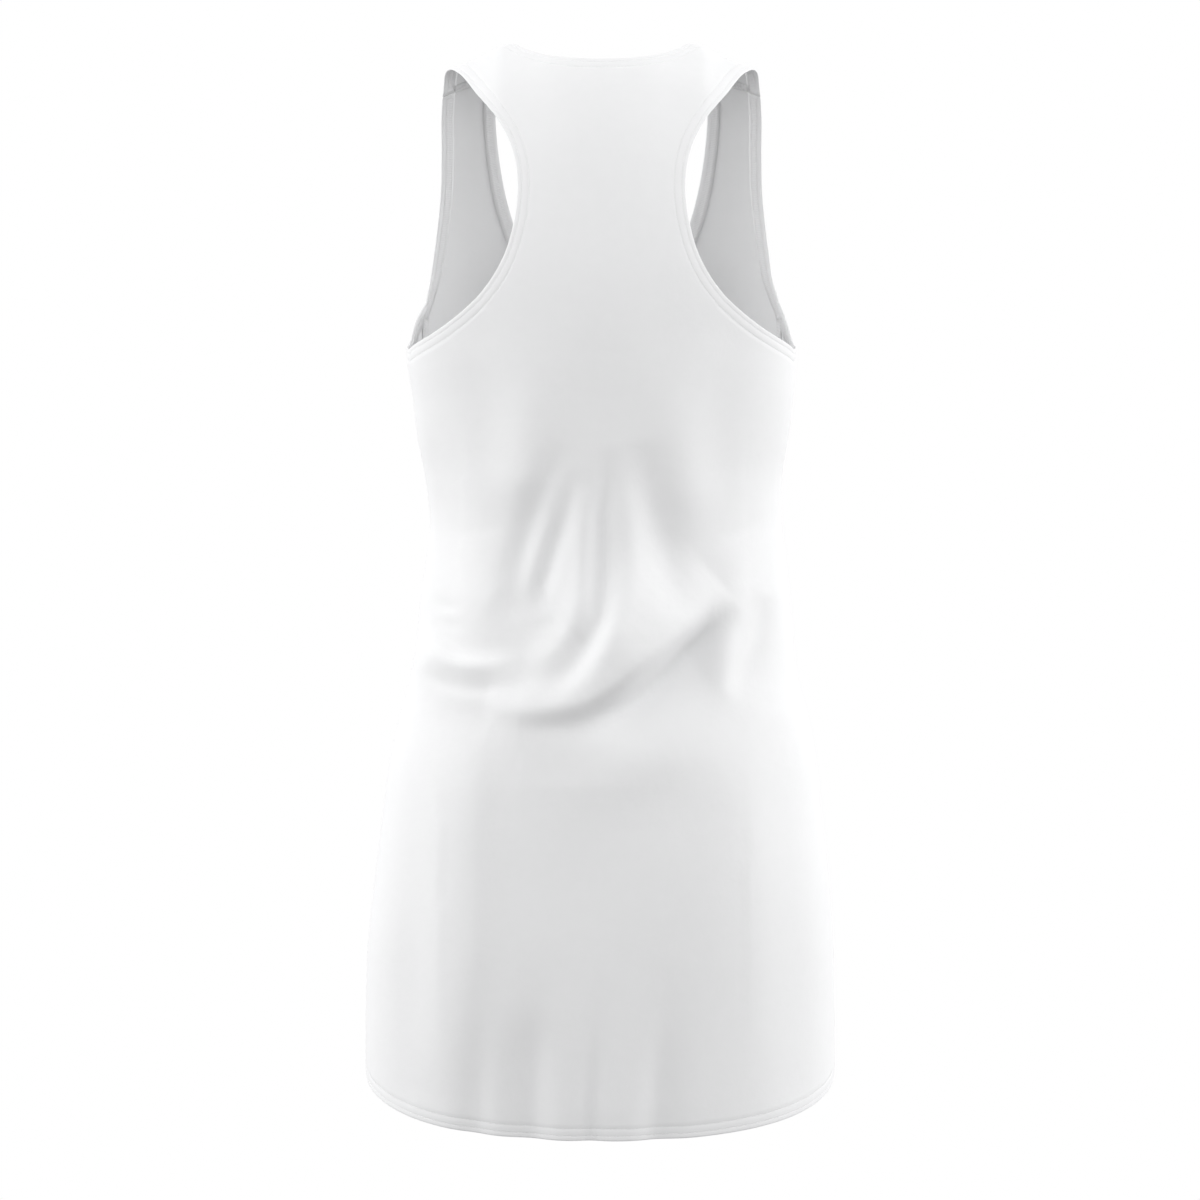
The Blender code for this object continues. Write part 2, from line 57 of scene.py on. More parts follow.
# Sizes of the filled-out dress at each drop below the shoulder line: half widths to the left
# and right of the centre, and how far the centre back and centre front stand out.
Section = namedtuple("Section", "drop left right back front")
SECTIONS = [Section(*sizes) for sizes in (
    (0, 152, 152, 0, 0), (4, 153, 153, 19, 18), (16, 155, 155, 38, 34), (36, 158, 158, 57, 49),
    (64, 160, 160, 72, 61), (100, 160, 160, 84, 76), (150, 157, 158, 93, 94),
    (200, 153, 155, 97, 110), (246, 152, 152, 95, 118), (277, 147.5, 149.8, 91, 117),
    (308, 143.5, 145.8, 87, 112), (340, 137.5, 141, 83, 106), (371, 134.3, 140.8, 80, 101),
    (402, 137, 143.5, 79, 98), (433, 141.5, 147, 82, 98), (465, 144.5, 149.8, 87, 100),
    (496, 150, 153, 93, 103), (527, 158.2, 161.3, 101, 106), (559, 165.5, 167, 109, 108),
    (600, 171, 171.8, 115, 110), (650, 177, 177.5, 118, 111), (700, 182.3, 181, 118, 112),
    (760, 184.2, 182, 116, 112), (850, 183.5, 182, 113, 111),
)]
ROUNDNESS = 0.88  # 1 is an ellipse in plan, less is squarer

# The shoulder line: distances out from the centre, and heights there
SHOULDER_LINE = [
    (0, 15), (35, 10), (60, 3), (70, 1), (79, -1), (88, -6), (97, -10.5), (109, -15),
    (121, -19.5), (132, -25), (170, -50),
]
RIDGE_FADE = (50, 240)  # the shoulder line's slope dies out between these drops

# Folds pressed into the cloth. Each row of a fold's path gives the distance to the wearer's
# left, the height, how far the cloth stands out there (in, if negative), and how wide the fold
# is on the left and on the right of its direction. One width stands for both, and a row that
# gives none is as wide as the row before.
BACK, FRONT = 1, -1
BACK_FOLDS = {
    "ledge over the seat": [
        (-92, -424, 2, 26, 12), (-74, -438, 9, 44, 14), (-50, -459, 18, 56, 14), (-28, -480, 21),
        (-8, -498, 15, 48, 14), (12.3, -509, 8.5, 38, 13), (40.6, -514.5, 6.5, 30, 12),
        (63.3, -514.5, 5.5, 24, 12), (86.7, -511.5, 1.5, 16, 11),
    ],
    "left side fold": [
        (141, -460, 2, 20, 7), (128, -472, 6, 24, 7), (114, -481, 8, 26, 7),
        (100, -485, 8, 26, 7.5), (86, -486, 6, 22, 8), (72, -483, 3, 16, 8), (58, -478, 0, 14, 8),
    ],
    "right shoulder ridge": [
        (-122, -372, 0, 16, 18), (-113, -400, 1.5), (-105, -424, 4, 16), (-99, -440, 6.5, 15, 14),
        (-94, -458, 7.5, 13, 12), (-91, -474, 6.5, 12), (-90, -490, 4.5), (-91, -506, 2),
        (-93, -524, 0),
    ],
    "outer left valley": [
        (30, -312, 0, 10), (38, -336, -2.5), (47, -356, -3.5), (53, -373, -4), (58, -388, -4.5),
        (63, -404, -4.5), (66, -418, -4.5, 10, 11), (66, -436, -3, 10, 12), (64, -452, 0),
    ],
    "inner left valley": [
        (20, -334, 0, 8), (25, -358, -2.5), (29, -374, -3.5), (34, -388, -4.5), (39, -404, -5),
        (43, -419, -5.5), (46, -433, -3.5, 9), (46, -446, 0),
    ],
    "left pocket": [
        (80, -430, 0, 14, 20), (64, -442, -3.5, 18, 20), (48, -456, -3.5, 20, 18),
        (34, -472, 0, 16),
    ],
    "centre roll": [
        (14, -346, 0, 9), (13, -384, 3), (15, -418, 4, 10, 9), (18, -440, 4.5, 11, 10),
        (26, -458, 4, 12, 10), (38, -474, 3, 13, 11), (54, -488, 0, 13, 12),
    ],
    "centre valley": [
        (-5, -318, 0, 7), (-4, -344, -2.5), (0, -374, -4), (1, -404, -4.5), (1, -428, -5),
        (2, -448, -5), (8, -466, -5, 8), (17, -482, -4.5, 9), (30, -496, -3), (44, -508, 0),
    ],
    "right roll": [
        (-21, -346, 0, 10), (-21, -382, 2.5), (-19, -418, 3, 10, 11), (-13, -446, 3.5, 11, 12),
        (-3, -466, 4, 11, 13), (10, -484, 3.5), (26, -500, 2), (40, -510, 0),
    ],
    "right valley": [
        (-30, -312, 0, 15), (-36, -344, -4), (-43, -372, -5.5, 15, 14), (-48, -400, -5.5),
        (-51, -422, -4, 16, 14), (-53, -448, 0),
    ],
    "crease at the right waist": [(-124, -366, 0, 5), (-109, -381, -1.2), (-91, -389, 0)],
    "hollow under the ledge": [
        (-101, -439, -1, 12, 16), (-76, -467, -5, 14, 22), (-48, -494, -9, 15, 28),
        (-20, -518, -10, 15, 30), (8, -541, -6.5, 20, 32), (38, -552, -5, 24, 34),
        (64, -552, -3, 22, 32), (90, -540, 0, 16, 24),
    ],
    "left edge of the skirt's flat middle": [
        (100, -520, 0, 40, 16), (98, -580, 4, 44, 14), (98, -640, 4, 46, 14), (99, -700, 4, 46, 16),
        (104, -760, 3, 44, 18), (106, -812, 1, 40, 20),
    ],
    "left hem flute": [
        (46, -700, 0, 14), (50, -740, -1.5), (54, -785, -5.5, 17, 14), (55, -850, -8, 18, 15),
    ],
    "narrow hem flute": [(0, -714, 0, 9), (3, -755, -1.2), (7, -800, -4, 10), (9, -850, -6, 11)],
    "right hem flute": [
        (-50, -706, 0, 12, 14), (-48, -755, -1.8, 12, 15), (-45, -805, -5.5, 13, 15),
        (-42, -850, -7),
    ],
    "outer left hem flute": [
        (94, -704, 0, 10), (93, -745, -1, 11), (94, -795, -3, 12), (97, -850, -4),
    ],
    "ripple by the left waist, upper": [(131, -434, 0, 4), (118, -439, -1.2), (104, -440, 0)],
    "ripple by the left waist, lower": [(128, -449, 0, 4), (114, -454, -1.0), (101, -453, 0)],
    "left of the flat back": [
        (48, -60, -0.5, 26), (42, -150, 0), (46, -230, -0.5), (52, -290, 3, 24), (58, -340, 4.5),
    ],
    "right of the flat back": [
        (-48, -60, -1, 26), (-42, -150, 0), (-46, -230, -1), (-54, -290, 2, 24), (-66, -350, 3),
    ],
    "left back": [(100, -240, -3, 26), (94, -300, -3.5), (94, -360, -1), (100, -430, 1, 24)],
    "right back": [
        (-100, -240, -2.5, 26), (-94, -300, -3), (-92, -360, -1.5, 22, 26), (-92, -400, 1, 20, 24),
    ],
    "left side of the back": [
        (132, -256, -1.5, 18), (126, -310, -3.5), (120, -370, -2.5), (124, -430, -1.5),
    ],
    "right side of the back": [
        (-132, -256, -1, 18), (-128, -310, -2), (-126, -370, -1.5), (-128, -430, 0),
    ],
    "left of the seat": [(62, -560, 0.5, 34), (62, -620, 0), (62, -680, 0.5), (62, -740, 1.5)],
    "left side of the skirt": [
        (134, -520, -0.5, 24, 22), (142, -590, -2), (146, -660, -3.5), (148, -730, -4.5),
        (148, -800, -2),
    ],
    "right side of the skirt": [
        (-134, -520, -0.5, 22, 24), (-142, -590, -2.5), (-146, -660, -2.5), (-148, -730, -2.5),
        (-148, -800, -1.5),
    ],
    "soft band under the hollow": [
        (-92, -568, 0, 16, 34), (-54, -581, -2, 18, 42), (-14, -581, -1.5), (16, -576, 0, 18, 34),
    ],
    "hook round the ridge's tip": [
        (-127, -430, 0, 9), (-124, -450, -2.5), (-119, -470, -3), (-110, -488, -2.5),
        (-95, -504, 0),
    ],
    "loose cloth at the left waist": [
        (92, -380, 0, 34), (86, -415, 4), (78, -446, 7), (72, -472, 5), (66, -498, 0, 32),
    ],
    "small of the back": [
        (0, -245, 0, 62), (0, -300, 3), (0, -345, 6), (0, -385, 7), (0, -425, 5), (0, -465, 2),
        (0, -505, 0),
    ],
    "loose cloth over the seat": [
        (-84, -500, 1, 46, 34), (-42, -524, 6, 56, 38), (8, -534, 9, 58, 40), (54, -534, 7, 58, 38),
        (92, -528, 1, 46, 34),
    ],
    "middle of the seat": [
        (10, -575, -3, 75), (10, -605, -6.5), (8, -645, -8), (6, -690, -6.5), (4, -750, -3.5),
        (0, -820, 0),
    ],
    "hollow under the left side fold": [
        (134, -486, 0, 7, 12), (120, -496, -3, 7, 16), (102, -500, -3.5), (86, -500, -2.5, 7, 14),
        (70, -496, 0, 7, 12),
    ],
    "crease under the ledge": [
        (-102, -439, 0, 8, 9), (-87, -454, -3.5, 8, 10), (-64, -475, -6, 8, 11), (-42, -496, -6),
        (-17, -514, -5), (9, -525, -3.5), (36, -530, -2), (62, -531, 0, 8, 10),
    ],
}
FOLD_FADE = (0.10, 0.40)  # folds die out towards the side seams, over these cosines
FOLD_STEPS, FOLD_REACH = 24, 110  # pieces of a fold's path, and how far from it it is felt
FOLD_CREST = 3.0  # half the strip along its crest where its two widths meet
LEAST_DEPTH = 20.0  # folds near the shoulder line lean as if the dress were this deep

# A place on the dress is an angle round it and a root of the drop below the shoulder line.
# The angle is 0 at the panel's own centre, positive to the wearer's left. The root is
# negative where a strap has passed over the shoulder line to the other face.
PLACE_SIZE = np.array([140.0, 26.0])  # about how many mm a unit of angle and of root is
PATH_DETAIL = 40  # how finely a path is first drawn between its points
SECTION_ROOTS = np.sqrt([s.drop for s in SECTIONS])


def smooth(knots, values, at, flat_ends=False):
    """A smooth curve through a table, read at the given places."""
    knots, values, at = (np.asarray(a, float) for a in (knots, values, at))
    slopes = np.gradient(values, knots)
    if flat_ends:
        slopes[[0, -1]] = 0
    i = np.clip(np.searchsorted(knots, at) - 1, 0, len(knots) - 2)
    width = knots[i + 1] - knots[i]
    t = np.clip((at - knots[i]) / width, 0, 1)
    return (
        values[i] * (1 + 2 * t) * (1 - t) ** 2
        + slopes[i] * width * t * (1 - t) ** 2
        + values[i + 1] * t * t * (3 - 2 * t)
        + slopes[i + 1] * width * t * t * (t - 1)
    )


def fade(at, low, high):
    """0 below low, 1 above high, and smooth between."""
    t = np.clip((at - low) / (high - low), 0, 1)
    return t * t * (3 - 2 * t)


def across(name, root):
    return smooth(SECTION_ROOTS, [getattr(s, name) for s in SECTIONS], np.abs(root))


def half_width(angle, root):
    return np.where(angle >= 0, across("left", root), across("right", root))


def shoulder_height(x, root):
    return smooth(*zip(*SHOULDER_LINE), np.abs(x)) * (1 - fade(root**2, *RIDGE_FADE))


def fold_path(rows):
    """The rows of a fold, each with both its widths, as points close together."""
    full = []
    for row in rows:
        widths = row[3:] or full[-1][3:]
        full.append((*row[:3], widths[0], widths[-1]))
    full = np.array(full, float)
    along = np.r_[0, np.cumsum(np.hypot(*np.diff(full[:, :2], axis=0).T))]
    steps = np.linspace(0, along[-1], FOLD_STEPS + 1)
    return np.stack([smooth(along, column, steps, True) for column in full.T], axis=1)


def fold_relief(x, z, folds):
    """How far a table of folds moves the cloth outwards."""
    total = np.zeros_like(x)
    for path in map(fold_path, folds.values()):
        near = (
            (x > path[:, 0].min() - FOLD_REACH) & (x < path[:, 0].max() + FOLD_REACH)
            & (z > path[:, 1].min() - FOLD_REACH) & (z < path[:, 1].max() + FOLD_REACH)
        )
        px, pz = x[near], z[near]
        gap = np.full(px.shape, np.inf)
        out = np.zeros(px.shape)
        width = np.ones(px.shape)
        for (x0, z0, out0, left0, right0), (x1, z1, out1, left1, right1) in zip(path, path[1:]):
            dx, dz = x1 - x0, z1 - z0
            t = np.clip(((px - x0) * dx + (pz - z0) * dz) / (dx * dx + dz * dz), 0, 1)
            away_x, away_z = px - x0 - t * dx, pz - z0 - t * dz
            distance = np.hypot(away_x, away_z)
            nearer = distance < gap
            gap = np.where(nearer, distance, gap)
            out = np.where(nearer, out0 + t * (out1 - out0), out)
            left, right = left0 + t * (left1 - left0), right0 + t * (right1 - right0)
            side = (dx * away_z - dz * away_x) / np.hypot(dx, dz)
            blend = fade(side, -FOLD_CREST, FOLD_CREST)
            width = np.where(nearer, right + blend * (left - right), width)
        total[near] += out * np.exp(-((gap / width) ** 2))
    return total


def cloth_point(face, places):
    """Points of the outer face of the cloth, in mm, at places on a panel."""
    angle, root = np.moveaxis(np.asarray(places, float), -1, 0)
    own, other = ("back", "front") if face == BACK else ("front", "back")
    a = half_width(angle, root)
    on_own = (root >= 0) & (np.abs(angle) <= np.pi / 2)
    depth = np.where(on_own, across(own, root), -across(other, root))
    cosine = np.abs(np.cos(angle))
    x = a * np.sin(angle)
    y = face * depth * cosine**ROUNDNESS
    z = shoulder_height(x, root) - root**2
    folds = BACK_FOLDS if face == BACK else FRONT_FOLDS
    out = np.where(on_own, fold_relief(x, z, folds), 0) * fade(cosine, *FOLD_FADE)
    deep = np.maximum(np.abs(depth), LEAST_DEPTH) ** 2
    lean = np.hypot(x / a**2, y / deep) + 1e-9
    x = x + out * x / a**2 / lean
    y = y + out * y / deep / lean
    return np.stack([x, y, z], axis=-1)


def step_of(face, places):
    """How far a point moves for a small change of angle, and of root."""
    h = 1e-4
    return [
        (cloth_point(face, places + move) - cloth_point(face, places - move)) / (2 * h)
        for move in (np.array([h, 0]), np.array([0, h]))
    ]


def unit(vectors):
    return vectors / np.linalg.norm(vectors, axis=-1)[..., None]


def outward_at(face, places):
    return unit(np.cross(*step_of(face, places))) * face


def evenly(points, count, first=()):
    """A smooth path through the points as count + 1 points, with its first steps as given."""
    points = np.asarray(points, float)
    along = np.r_[0, np.cumsum(np.linalg.norm(np.diff(points * PLACE_SIZE, axis=0), axis=1))]
    fine = np.linspace(0, along[-1], PATH_DETAIL * len(points))
    path = np.stack([smooth(along, column, fine) for column in points.T], axis=1)
    length = np.r_[0, np.cumsum(np.linalg.norm(np.diff(path * PLACE_SIZE, axis=0), axis=1))]
    start = first[-1] if first else 0
    rest = np.linspace(start, length[-1], count + 1 - len(first))
    steps = np.r_[0, first[:-1], rest] if first else rest
    return np.stack([np.interp(steps, length, column) for column in path.T], axis=1)


# Edges, as distances out from the centre and heights, on the panel's own face of the dress,
# round its side or over its shoulders
HERE, ROUND, OVER = "here", "round", "over"
Edge = namedtuple("Edge", "out height where", defaults=[HERE])
BACK_UNDERARM = [
    (139, -197, ROUND), (147.3, -214, ROUND), (150.8, -229, ROUND), (151.9, -237.5),
    (150.3, -239.3), (146.6, -236.8), (137, -232), (126, -226), (115.4, -219), (105.4, -211.5),
    (95.5, -203),
]
RACERBACK = [
    (95.5, -203), (85.3, -190.6), (75.7, -174), (67.8, -149.6), (64.6, -128), (65, -105.3),
    (69.5, -86), (79.4, -66), (98.5, -41), (114, -22),
]
BACK_ARMHOLE_TOP = [(114, -22), (121, -19.5), (125.6, -38, OVER)]
BACK_NECK = [(0, -17.4), (23, -16.3), (35, -14.5), (49, -10.5), (60, -5.6), (68.5, 0)]
BACK_NECK_TOP = [(68.5, 0), (72, 0.6), (83.5, -20, OVER)]
SETTLING = 30  # rounds in which an edge's root and the shoulder line's height there settle


def place(rows, sign):
    """Edge rows as places (angle, root) on a panel, on the wearer's left for sign +1."""
    places = []
    for edge in (Edge(*row) for row in rows):
        root = np.sqrt(max(-edge.height, 0.01))
        for _ in range(SETTLING):
            root = np.sqrt(max(float(shoulder_height(edge.out, root)) - edge.height, 0.0))
        turn = np.arcsin(min(edge.out / float(half_width(sign, root)), 1))
        angle = np.pi - turn if edge.where == ROUND else turn
        places.append((sign * angle, -root if edge.where == OVER else root))
    return np.array(places)


HEM_WIDTH = 9.5  # from the folded edge to where the panel lies single again
HEM_AT_SIDE = 13.0  # armhole hem measured down the side seam, which it meets at a slant
HEM_AT_SHOULDER = 9.8  # neck and armhole hems measured along the shoulder seam
CORNER_REACH = 40.0  # how far from its seam a turned hem follows the seam's direction
Seam = namedtuple("Seam", "name hem")
SIDE, SHOULDER = Seam("side", HEM_AT_SIDE), Seam("shoulder", HEM_AT_SHOULDER)


def moved_in(face, edge, towards, first, last):
    """The edge moved in by the width of a hem, along the seams, first and last, at its ends."""
    points = cloth_point(face, edge)
    by_angle, by_root = step_of(face, edge)
    across_edge = unit(np.cross(np.cross(by_angle, by_root), np.gradient(points, axis=0)))
    middle = len(edge) // 2
    across_edge *= np.sign(across_edge[middle] @ (cloth_point(face, towards) - points[middle]))
    along = np.r_[0, np.cumsum(np.linalg.norm(np.diff(points, axis=0), axis=1))]
    inward = across_edge
    length = np.full((len(edge), 1), HEM_WIDTH)
    for seam, distance in ((first, along), (last, along[-1] - along)):
        line = unit(by_root if seam is SIDE else by_angle)
        line = line * np.sign(np.sum(line * across_edge, axis=1))[:, None]
        share = np.clip(1 - distance / CORNER_REACH, 0, 1)[:, None]
        inward = unit(inward + share * (line - inward))
        length += share**2 * (seam.hem - HEM_WIDTH)
    moved = edge.copy()
    for i, move in enumerate(inward * length):
        jacobian = np.stack([by_angle[i], by_root[i]], axis=1)
        moved[i] += np.linalg.lstsq(jacobian, move, rcond=None)[0]
    return moved


# A turned hem in section: how far in from the folded edge, and how deep under the outer face.
# The needle rows pull the cloth down a little, and the cloth between them stands proud.
FOLD_RADIUS = 0.72
TURNED_DEPTH = 2 * FOLD_RADIUS
TURNED_WIDTH = 10.3
NEEDLE_ROWS = (3.6, 9.1)
HEM_PROFILE = [
    (9.5, 0.0), (9.28, 0.10), (9.1, 0.20), (8.85, 0.08), (8.3, -0.06), (6.4, -0.10),
    (4.5, -0.06), (3.85, 0.06), (3.6, 0.18), (3.35, 0.06), (2.6, -0.05), (1.5, -0.04),
] + [
    (FOLD_RADIUS * (1 - np.sin(turn)), FOLD_RADIUS * (1 - np.cos(turn)))
    for turn in np.radians([0, 36, 72, 108, 144, 180])
] + [(2.4, TURNED_DEPTH), (5.0, TURNED_DEPTH), (7.6, TURNED_DEPTH), (TURNED_WIDTH, TURNED_DEPTH)]

# The gap between the panels at a seam; half of it as an angle at the underarm and at the hem,
# and as a root at the shoulder, where a unit is about 110, 120 and 8 mm
SEAM_GAP = 0.3
UNDERARM_GAP, HEM_GAP, SHOULDER_GAP = SEAM_GAP / 2 / 110, SEAM_GAP / 2 / 120, SEAM_GAP / 2 / 8
SEAM_DIP = (0.5, 0.12)  # how far a panel dips at its seams, at its edge and next to it
FIRST_STEPS = (0.4, 1.1, 2.9, 7.0)  # the first cells of an edge end this far from the seam
WELD = 0.012  # points of neighbouring blocks nearer than this are one


def dips(count, at_start=False, at_end=False):
    """How deep each of a row of points lies because of the seams at the row's ends."""
    depth = np.zeros(count)
    if at_start:
        depth[:2] = SEAM_DIP
    if at_end:
        depth[-2:] = SEAM_DIP[::-1]
    return depth


def shown(name, form):
    """A mesh, lamp or camera put into the scene."""
    thing = bpy.data.objects.new(name, form)
    bpy.context.scene.collection.objects.link(thing)
    return thing


class Panel:
    """One cut piece of cloth as a fine surface of cells, with its hems turned in."""

    def __init__(self, face):
        self.face = face
        self.points, self.spots, self.cells = [], [], []
        self.count = 0

    def add(self, rows, depth=0.0):
        """Adds a block of cells between rows of places, sunk by depth."""
        outward = outward_at(self.face, rows)
        depth = np.broadcast_to(np.asarray(depth, float), rows.shape[:2])[..., None]
        points = cloth_point(self.face, rows) - outward * depth
        spots = np.stack([rows[..., 0] * PLACE_SIZE[0], -rows[..., 1] * np.abs(rows[..., 1])], axis=-1)
        height, width = rows.shape[:2]
        numbers = self.count + np.arange(height * width).reshape(height, width)
        corners = (numbers[:-1, :-1], numbers[:-1, 1:], numbers[1:, 1:], numbers[1:, :-1])
        self.points.append(points.reshape(-1, 3))
        self.spots.append(spots.reshape(-1, 2))
        self.cells.append(np.stack(corners, axis=-1).reshape(-1, 4))
        self.count += height * width

    def add_hem(self, edge, inner):
        """A turned hem: up to its fold, round it, and back on the inside."""
        shares = [distance / HEM_WIDTH for distance, _ in HEM_PROFILE]
        rows = np.stack([edge + (inner - edge) * share for share in shares])
        depth = np.array([deep for _, deep in HEM_PROFILE])[:, None]
        self.add(rows, depth + dips(len(edge), True, True)[None, :])

    def turn_in(self, edge, towards, first, last):
        """Turns an edge in, towards a place, and gives back the hem's inner line."""
        inner = moved_in(self.face, edge, towards, first, last)
        self.add_hem(edge, inner)
        return inner

    def finished(self, name, outside, inside, wall=None):
        """The panel as an object, with its wall, if it gets one, made on the inside."""
        mesh = bpy.data.meshes.new(name)
        mesh.from_pydata((np.concatenate(self.points) * MM).tolist(), [],
                         np.concatenate(self.cells).tolist())
        spots = np.concatenate(self.spots) * MM
        layer = mesh.uv_layers.new(name="cloth")
        corner = np.zeros(len(mesh.loops), int)
        mesh.loops.foreach_get("vertex_index", corner)
        layer.data.foreach_set("uv", spots[corner].ravel())
        shape = bmesh.new()
        shape.from_mesh(mesh)
        bmesh.ops.remove_doubles(shape, verts=shape.verts, dist=WELD * MM)
        bmesh.ops.recalc_face_normals(shape, faces=shape.faces)
        middle = max(shape.faces, key=lambda f: f.calc_center_median().y * self.face)
        if middle.normal.y * self.face < 0:
            bmesh.ops.reverse_faces(shape, faces=shape.faces)
        for cell in shape.faces:
            cell.smooth = True
        shape.to_mesh(mesh)
        shape.free()
        mesh.materials.append(outside)
        mesh.materials.append(inside)
        piece = shown(name, mesh)
        if wall:
            solid = piece.modifiers.new("wall", "SOLIDIFY")
            solid.thickness = wall * MM
            solid.offset = -1
            solid.use_rim = True
            solid.material_offset = 1
            solid.material_offset_rim = 0
        return piece


def joined(*parts):
    """Edges end to end, with each shared point kept once."""
    return np.concatenate([parts[0]] + [p[1:] for p in parts[1:]])


def ruled(bottom, top, levels):
    """Rows of places between two edges, straight in angle and drop."""
    def flat(places):
        return np.stack([places[:, 0], places[:, 1] * np.abs(places[:, 1])], axis=1)

    low, high = flat(bottom), flat(top)
    rows = low + (high - low) * np.asarray(levels)[:, None, None]
    rows[..., 1] = np.sign(rows[..., 1]) * np.sqrt(np.abs(rows[..., 1]))
    return rows


def patch(bottom, top, left, right):
    """Rows of places inside four edges that share their corners (a Coons patch)."""
    u = np.linspace(0, 1, len(bottom))[None, :, None]
    v = np.linspace(0, 1, len(left))[:, None, None]
    corners = (
        (1 - u) * (1 - v) * bottom[0] + u * (1 - v) * bottom[-1]
        + (1 - u) * v * top[0] + u * v * top[-1]
    )
    return (1 - v) * bottom + v * top + (1 - u) * left[:, None] + u * right[:, None] - corners


SHOULDER_SEAM_DROP = 16.0  # the shoulder seams lie this far down the front of the shoulder
SEAM_AT_UNDERARM = np.radians(114.6)  # angle of the side seams from centre back, at the top
SEAM_AT_HEM = np.radians(99.0)  # and at the hem
HEM_CENTRE = -842.6  # height of the hem at centre back and centre front
HEM_SIDE = -799.0  # height of the hem at the side seams
HEM_SHAPE = 2.2  # how late the hem curves up towards the side seams
BODY_ROWS = 168  # rows of cells from the hem to the underarm


def skirt(panel, top, seam_at_hem):
    """The body of a panel from its bottom hem up to the top row; gives back the hem's edges."""
    angles = top[:, 0] * seam_at_hem / abs(top[0, 0])
    share = 1 - np.abs(np.abs(angles) / (np.pi / 2) - 1)
    drops = -(HEM_CENTRE + (HEM_SIDE - HEM_CENTRE) * share**HEM_SHAPE)
    edge = np.stack([angles, np.sqrt(drops)], axis=1)
    inner = np.stack([angles, np.sqrt(drops - HEM_WIDTH)], axis=1)
    panel.add_hem(edge, inner)
    body = ruled(inner, top, np.linspace(0, 1, BODY_ROWS + 1))
    panel.add(body, dips(len(top), True, True)[None, :])
    return edge, inner


def dial(node, settings):
    """Sets a node's sockets, by name or number, to values or to outputs of other nodes."""
    for socket, value in settings.items():
        if isinstance(value, bpy.types.NodeSocket):
            node.id_data.links.new(value, node.inputs[socket])
        else:
            node.inputs[socket].default_value = value


def maths(tree, kind, first, second=0.0):
    """A maths node of two numbers or outputs of other nodes; gives back its result."""
    node = tree.nodes.new("ShaderNodeMath")
    node.operation = kind
    dial(node, {0: first, 1: second})
    return node.outputs[0]


def new_paint(name):
    """A new material, its nodes and its main shader."""
    made = bpy.data.materials.new(name)
    made.use_nodes = True
    nodes = made.node_tree.nodes
    return made, nodes, nodes["Principled BSDF"]


WALE, COURSE = 0.00058, 0.00046  # width and height of one knitted loop, in metres
BOW_TURN = 6.283  # radians of the wave in the courses inside for each wale, nearly once round


def knit(name, colour, face_side):
    """White jersey: fine wales and courses, faintly uneven at random, with painted shade between the
    wales and a soft bloom of loose fibre.
    """
    made, nodes, shader = new_paint(name)
    sum_of = partial(maths, made.node_tree)

    spot = nodes.new("ShaderNodeUVMap")
    spot.uv_map = "cloth"
    apart = nodes.new("ShaderNodeSeparateXYZ")
    dial(apart, {0: spot.outputs[0]})
    wale = sum_of("MULTIPLY", apart.outputs[0], 1 / WALE)
    course = sum_of("MULTIPLY", apart.outputs[1], 1 / COURSE)
    rib = sum_of("MULTIPLY", sum_of("PINGPONG", wale, 0.5), 2.0)
    if face_side:
        slant = sum_of("ADD", course, sum_of("MULTIPLY", rib, 0.55))
        loop = sum_of("SINE", sum_of("MULTIPLY", slant, 2 * np.pi))
        stitch = sum_of("ADD", sum_of("MULTIPLY", rib, 0.75), sum_of("MULTIPLY", loop, 0.25))
    else:
        wave = sum_of("SINE", sum_of("MULTIPLY", wale, BOW_TURN))
        bow = sum_of("ADD", course, sum_of("MULTIPLY", wave, 0.18))
        loop = sum_of("SINE", sum_of("MULTIPLY", bow, 2 * np.pi))
        stitch = sum_of("ADD", sum_of("MULTIPLY", rib, 0.25), sum_of("MULTIPLY", loop, 0.75))

    where = nodes.new("ShaderNodeTexCoord")
    cloud = nodes.new("ShaderNodeTexNoise")
    dial(cloud, {
        "Scale": 95.0, "Detail": 4.0, "Roughness": 0.62, "Vector": where.outputs["Object"],
    })
    # Colour mask: random patches of tone, plus painted shade that darkens the valleys between the
    # wales
    uneven_and_valley_shade = sum_of("ADD", sum_of("MULTIPLY", cloud.outputs[0], 0.7), sum_of("MULTIPLY", rib, 0.3))
    tint = nodes.new("ShaderNodeMix")
    tint.data_type = "RGBA"
    dial(tint, {"A": (*(c * 0.955 for c in colour), 1), "B": (*colour, 1), "Factor": uneven_and_valley_shade})

    soft, fine = nodes.new("ShaderNodeBump"), nodes.new("ShaderNodeBump")
    dial(soft, {"Strength": 0.35, "Distance": 0.0006, "Height": cloud.outputs[0]})
    dial(fine, {
        "Strength": 0.30, "Distance": 0.00010, "Height": stitch, "Normal": soft.outputs[0],
    })
    dial(shader, {
        "Base Color": tint.outputs["Result"], "Normal": fine.outputs[0], "Roughness": 0.85,
        "Specular IOR Level": 0.25, "Sheen Weight": 0.18, "Sheen Roughness": 0.6,
    })
    return made


CLOTH_WALL = 0.6  # thickness of the jersey
knit_face = knit("white jersey, face side", (0.83, 0.832, 0.838), True)
# The inside is the same white jersey as the face, given a darker colour: painted shade for the inside
# of the dress
shaded_knit_inside = knit("white jersey, inside, painted darker as shade", (0.79, 0.792, 0.797), False)

# Cells across half the racerback and across a strap; then cells along the underarm, and rows
# of the racerback's stem, of the part above it, along the neck, and over the shoulder
RACER_HALF, STRAP = 36, 20
BACK_UNDERARM_CELLS, STEM_ROWS, YOKE_ROWS, NECK_ROWS, OVER_ROWS = 44, 24, 16, 12, 16
BETWEEN_BLADES, BELOW_NECK = (0, np.sqrt(200)), (0, np.sqrt(120))  # two places on the back

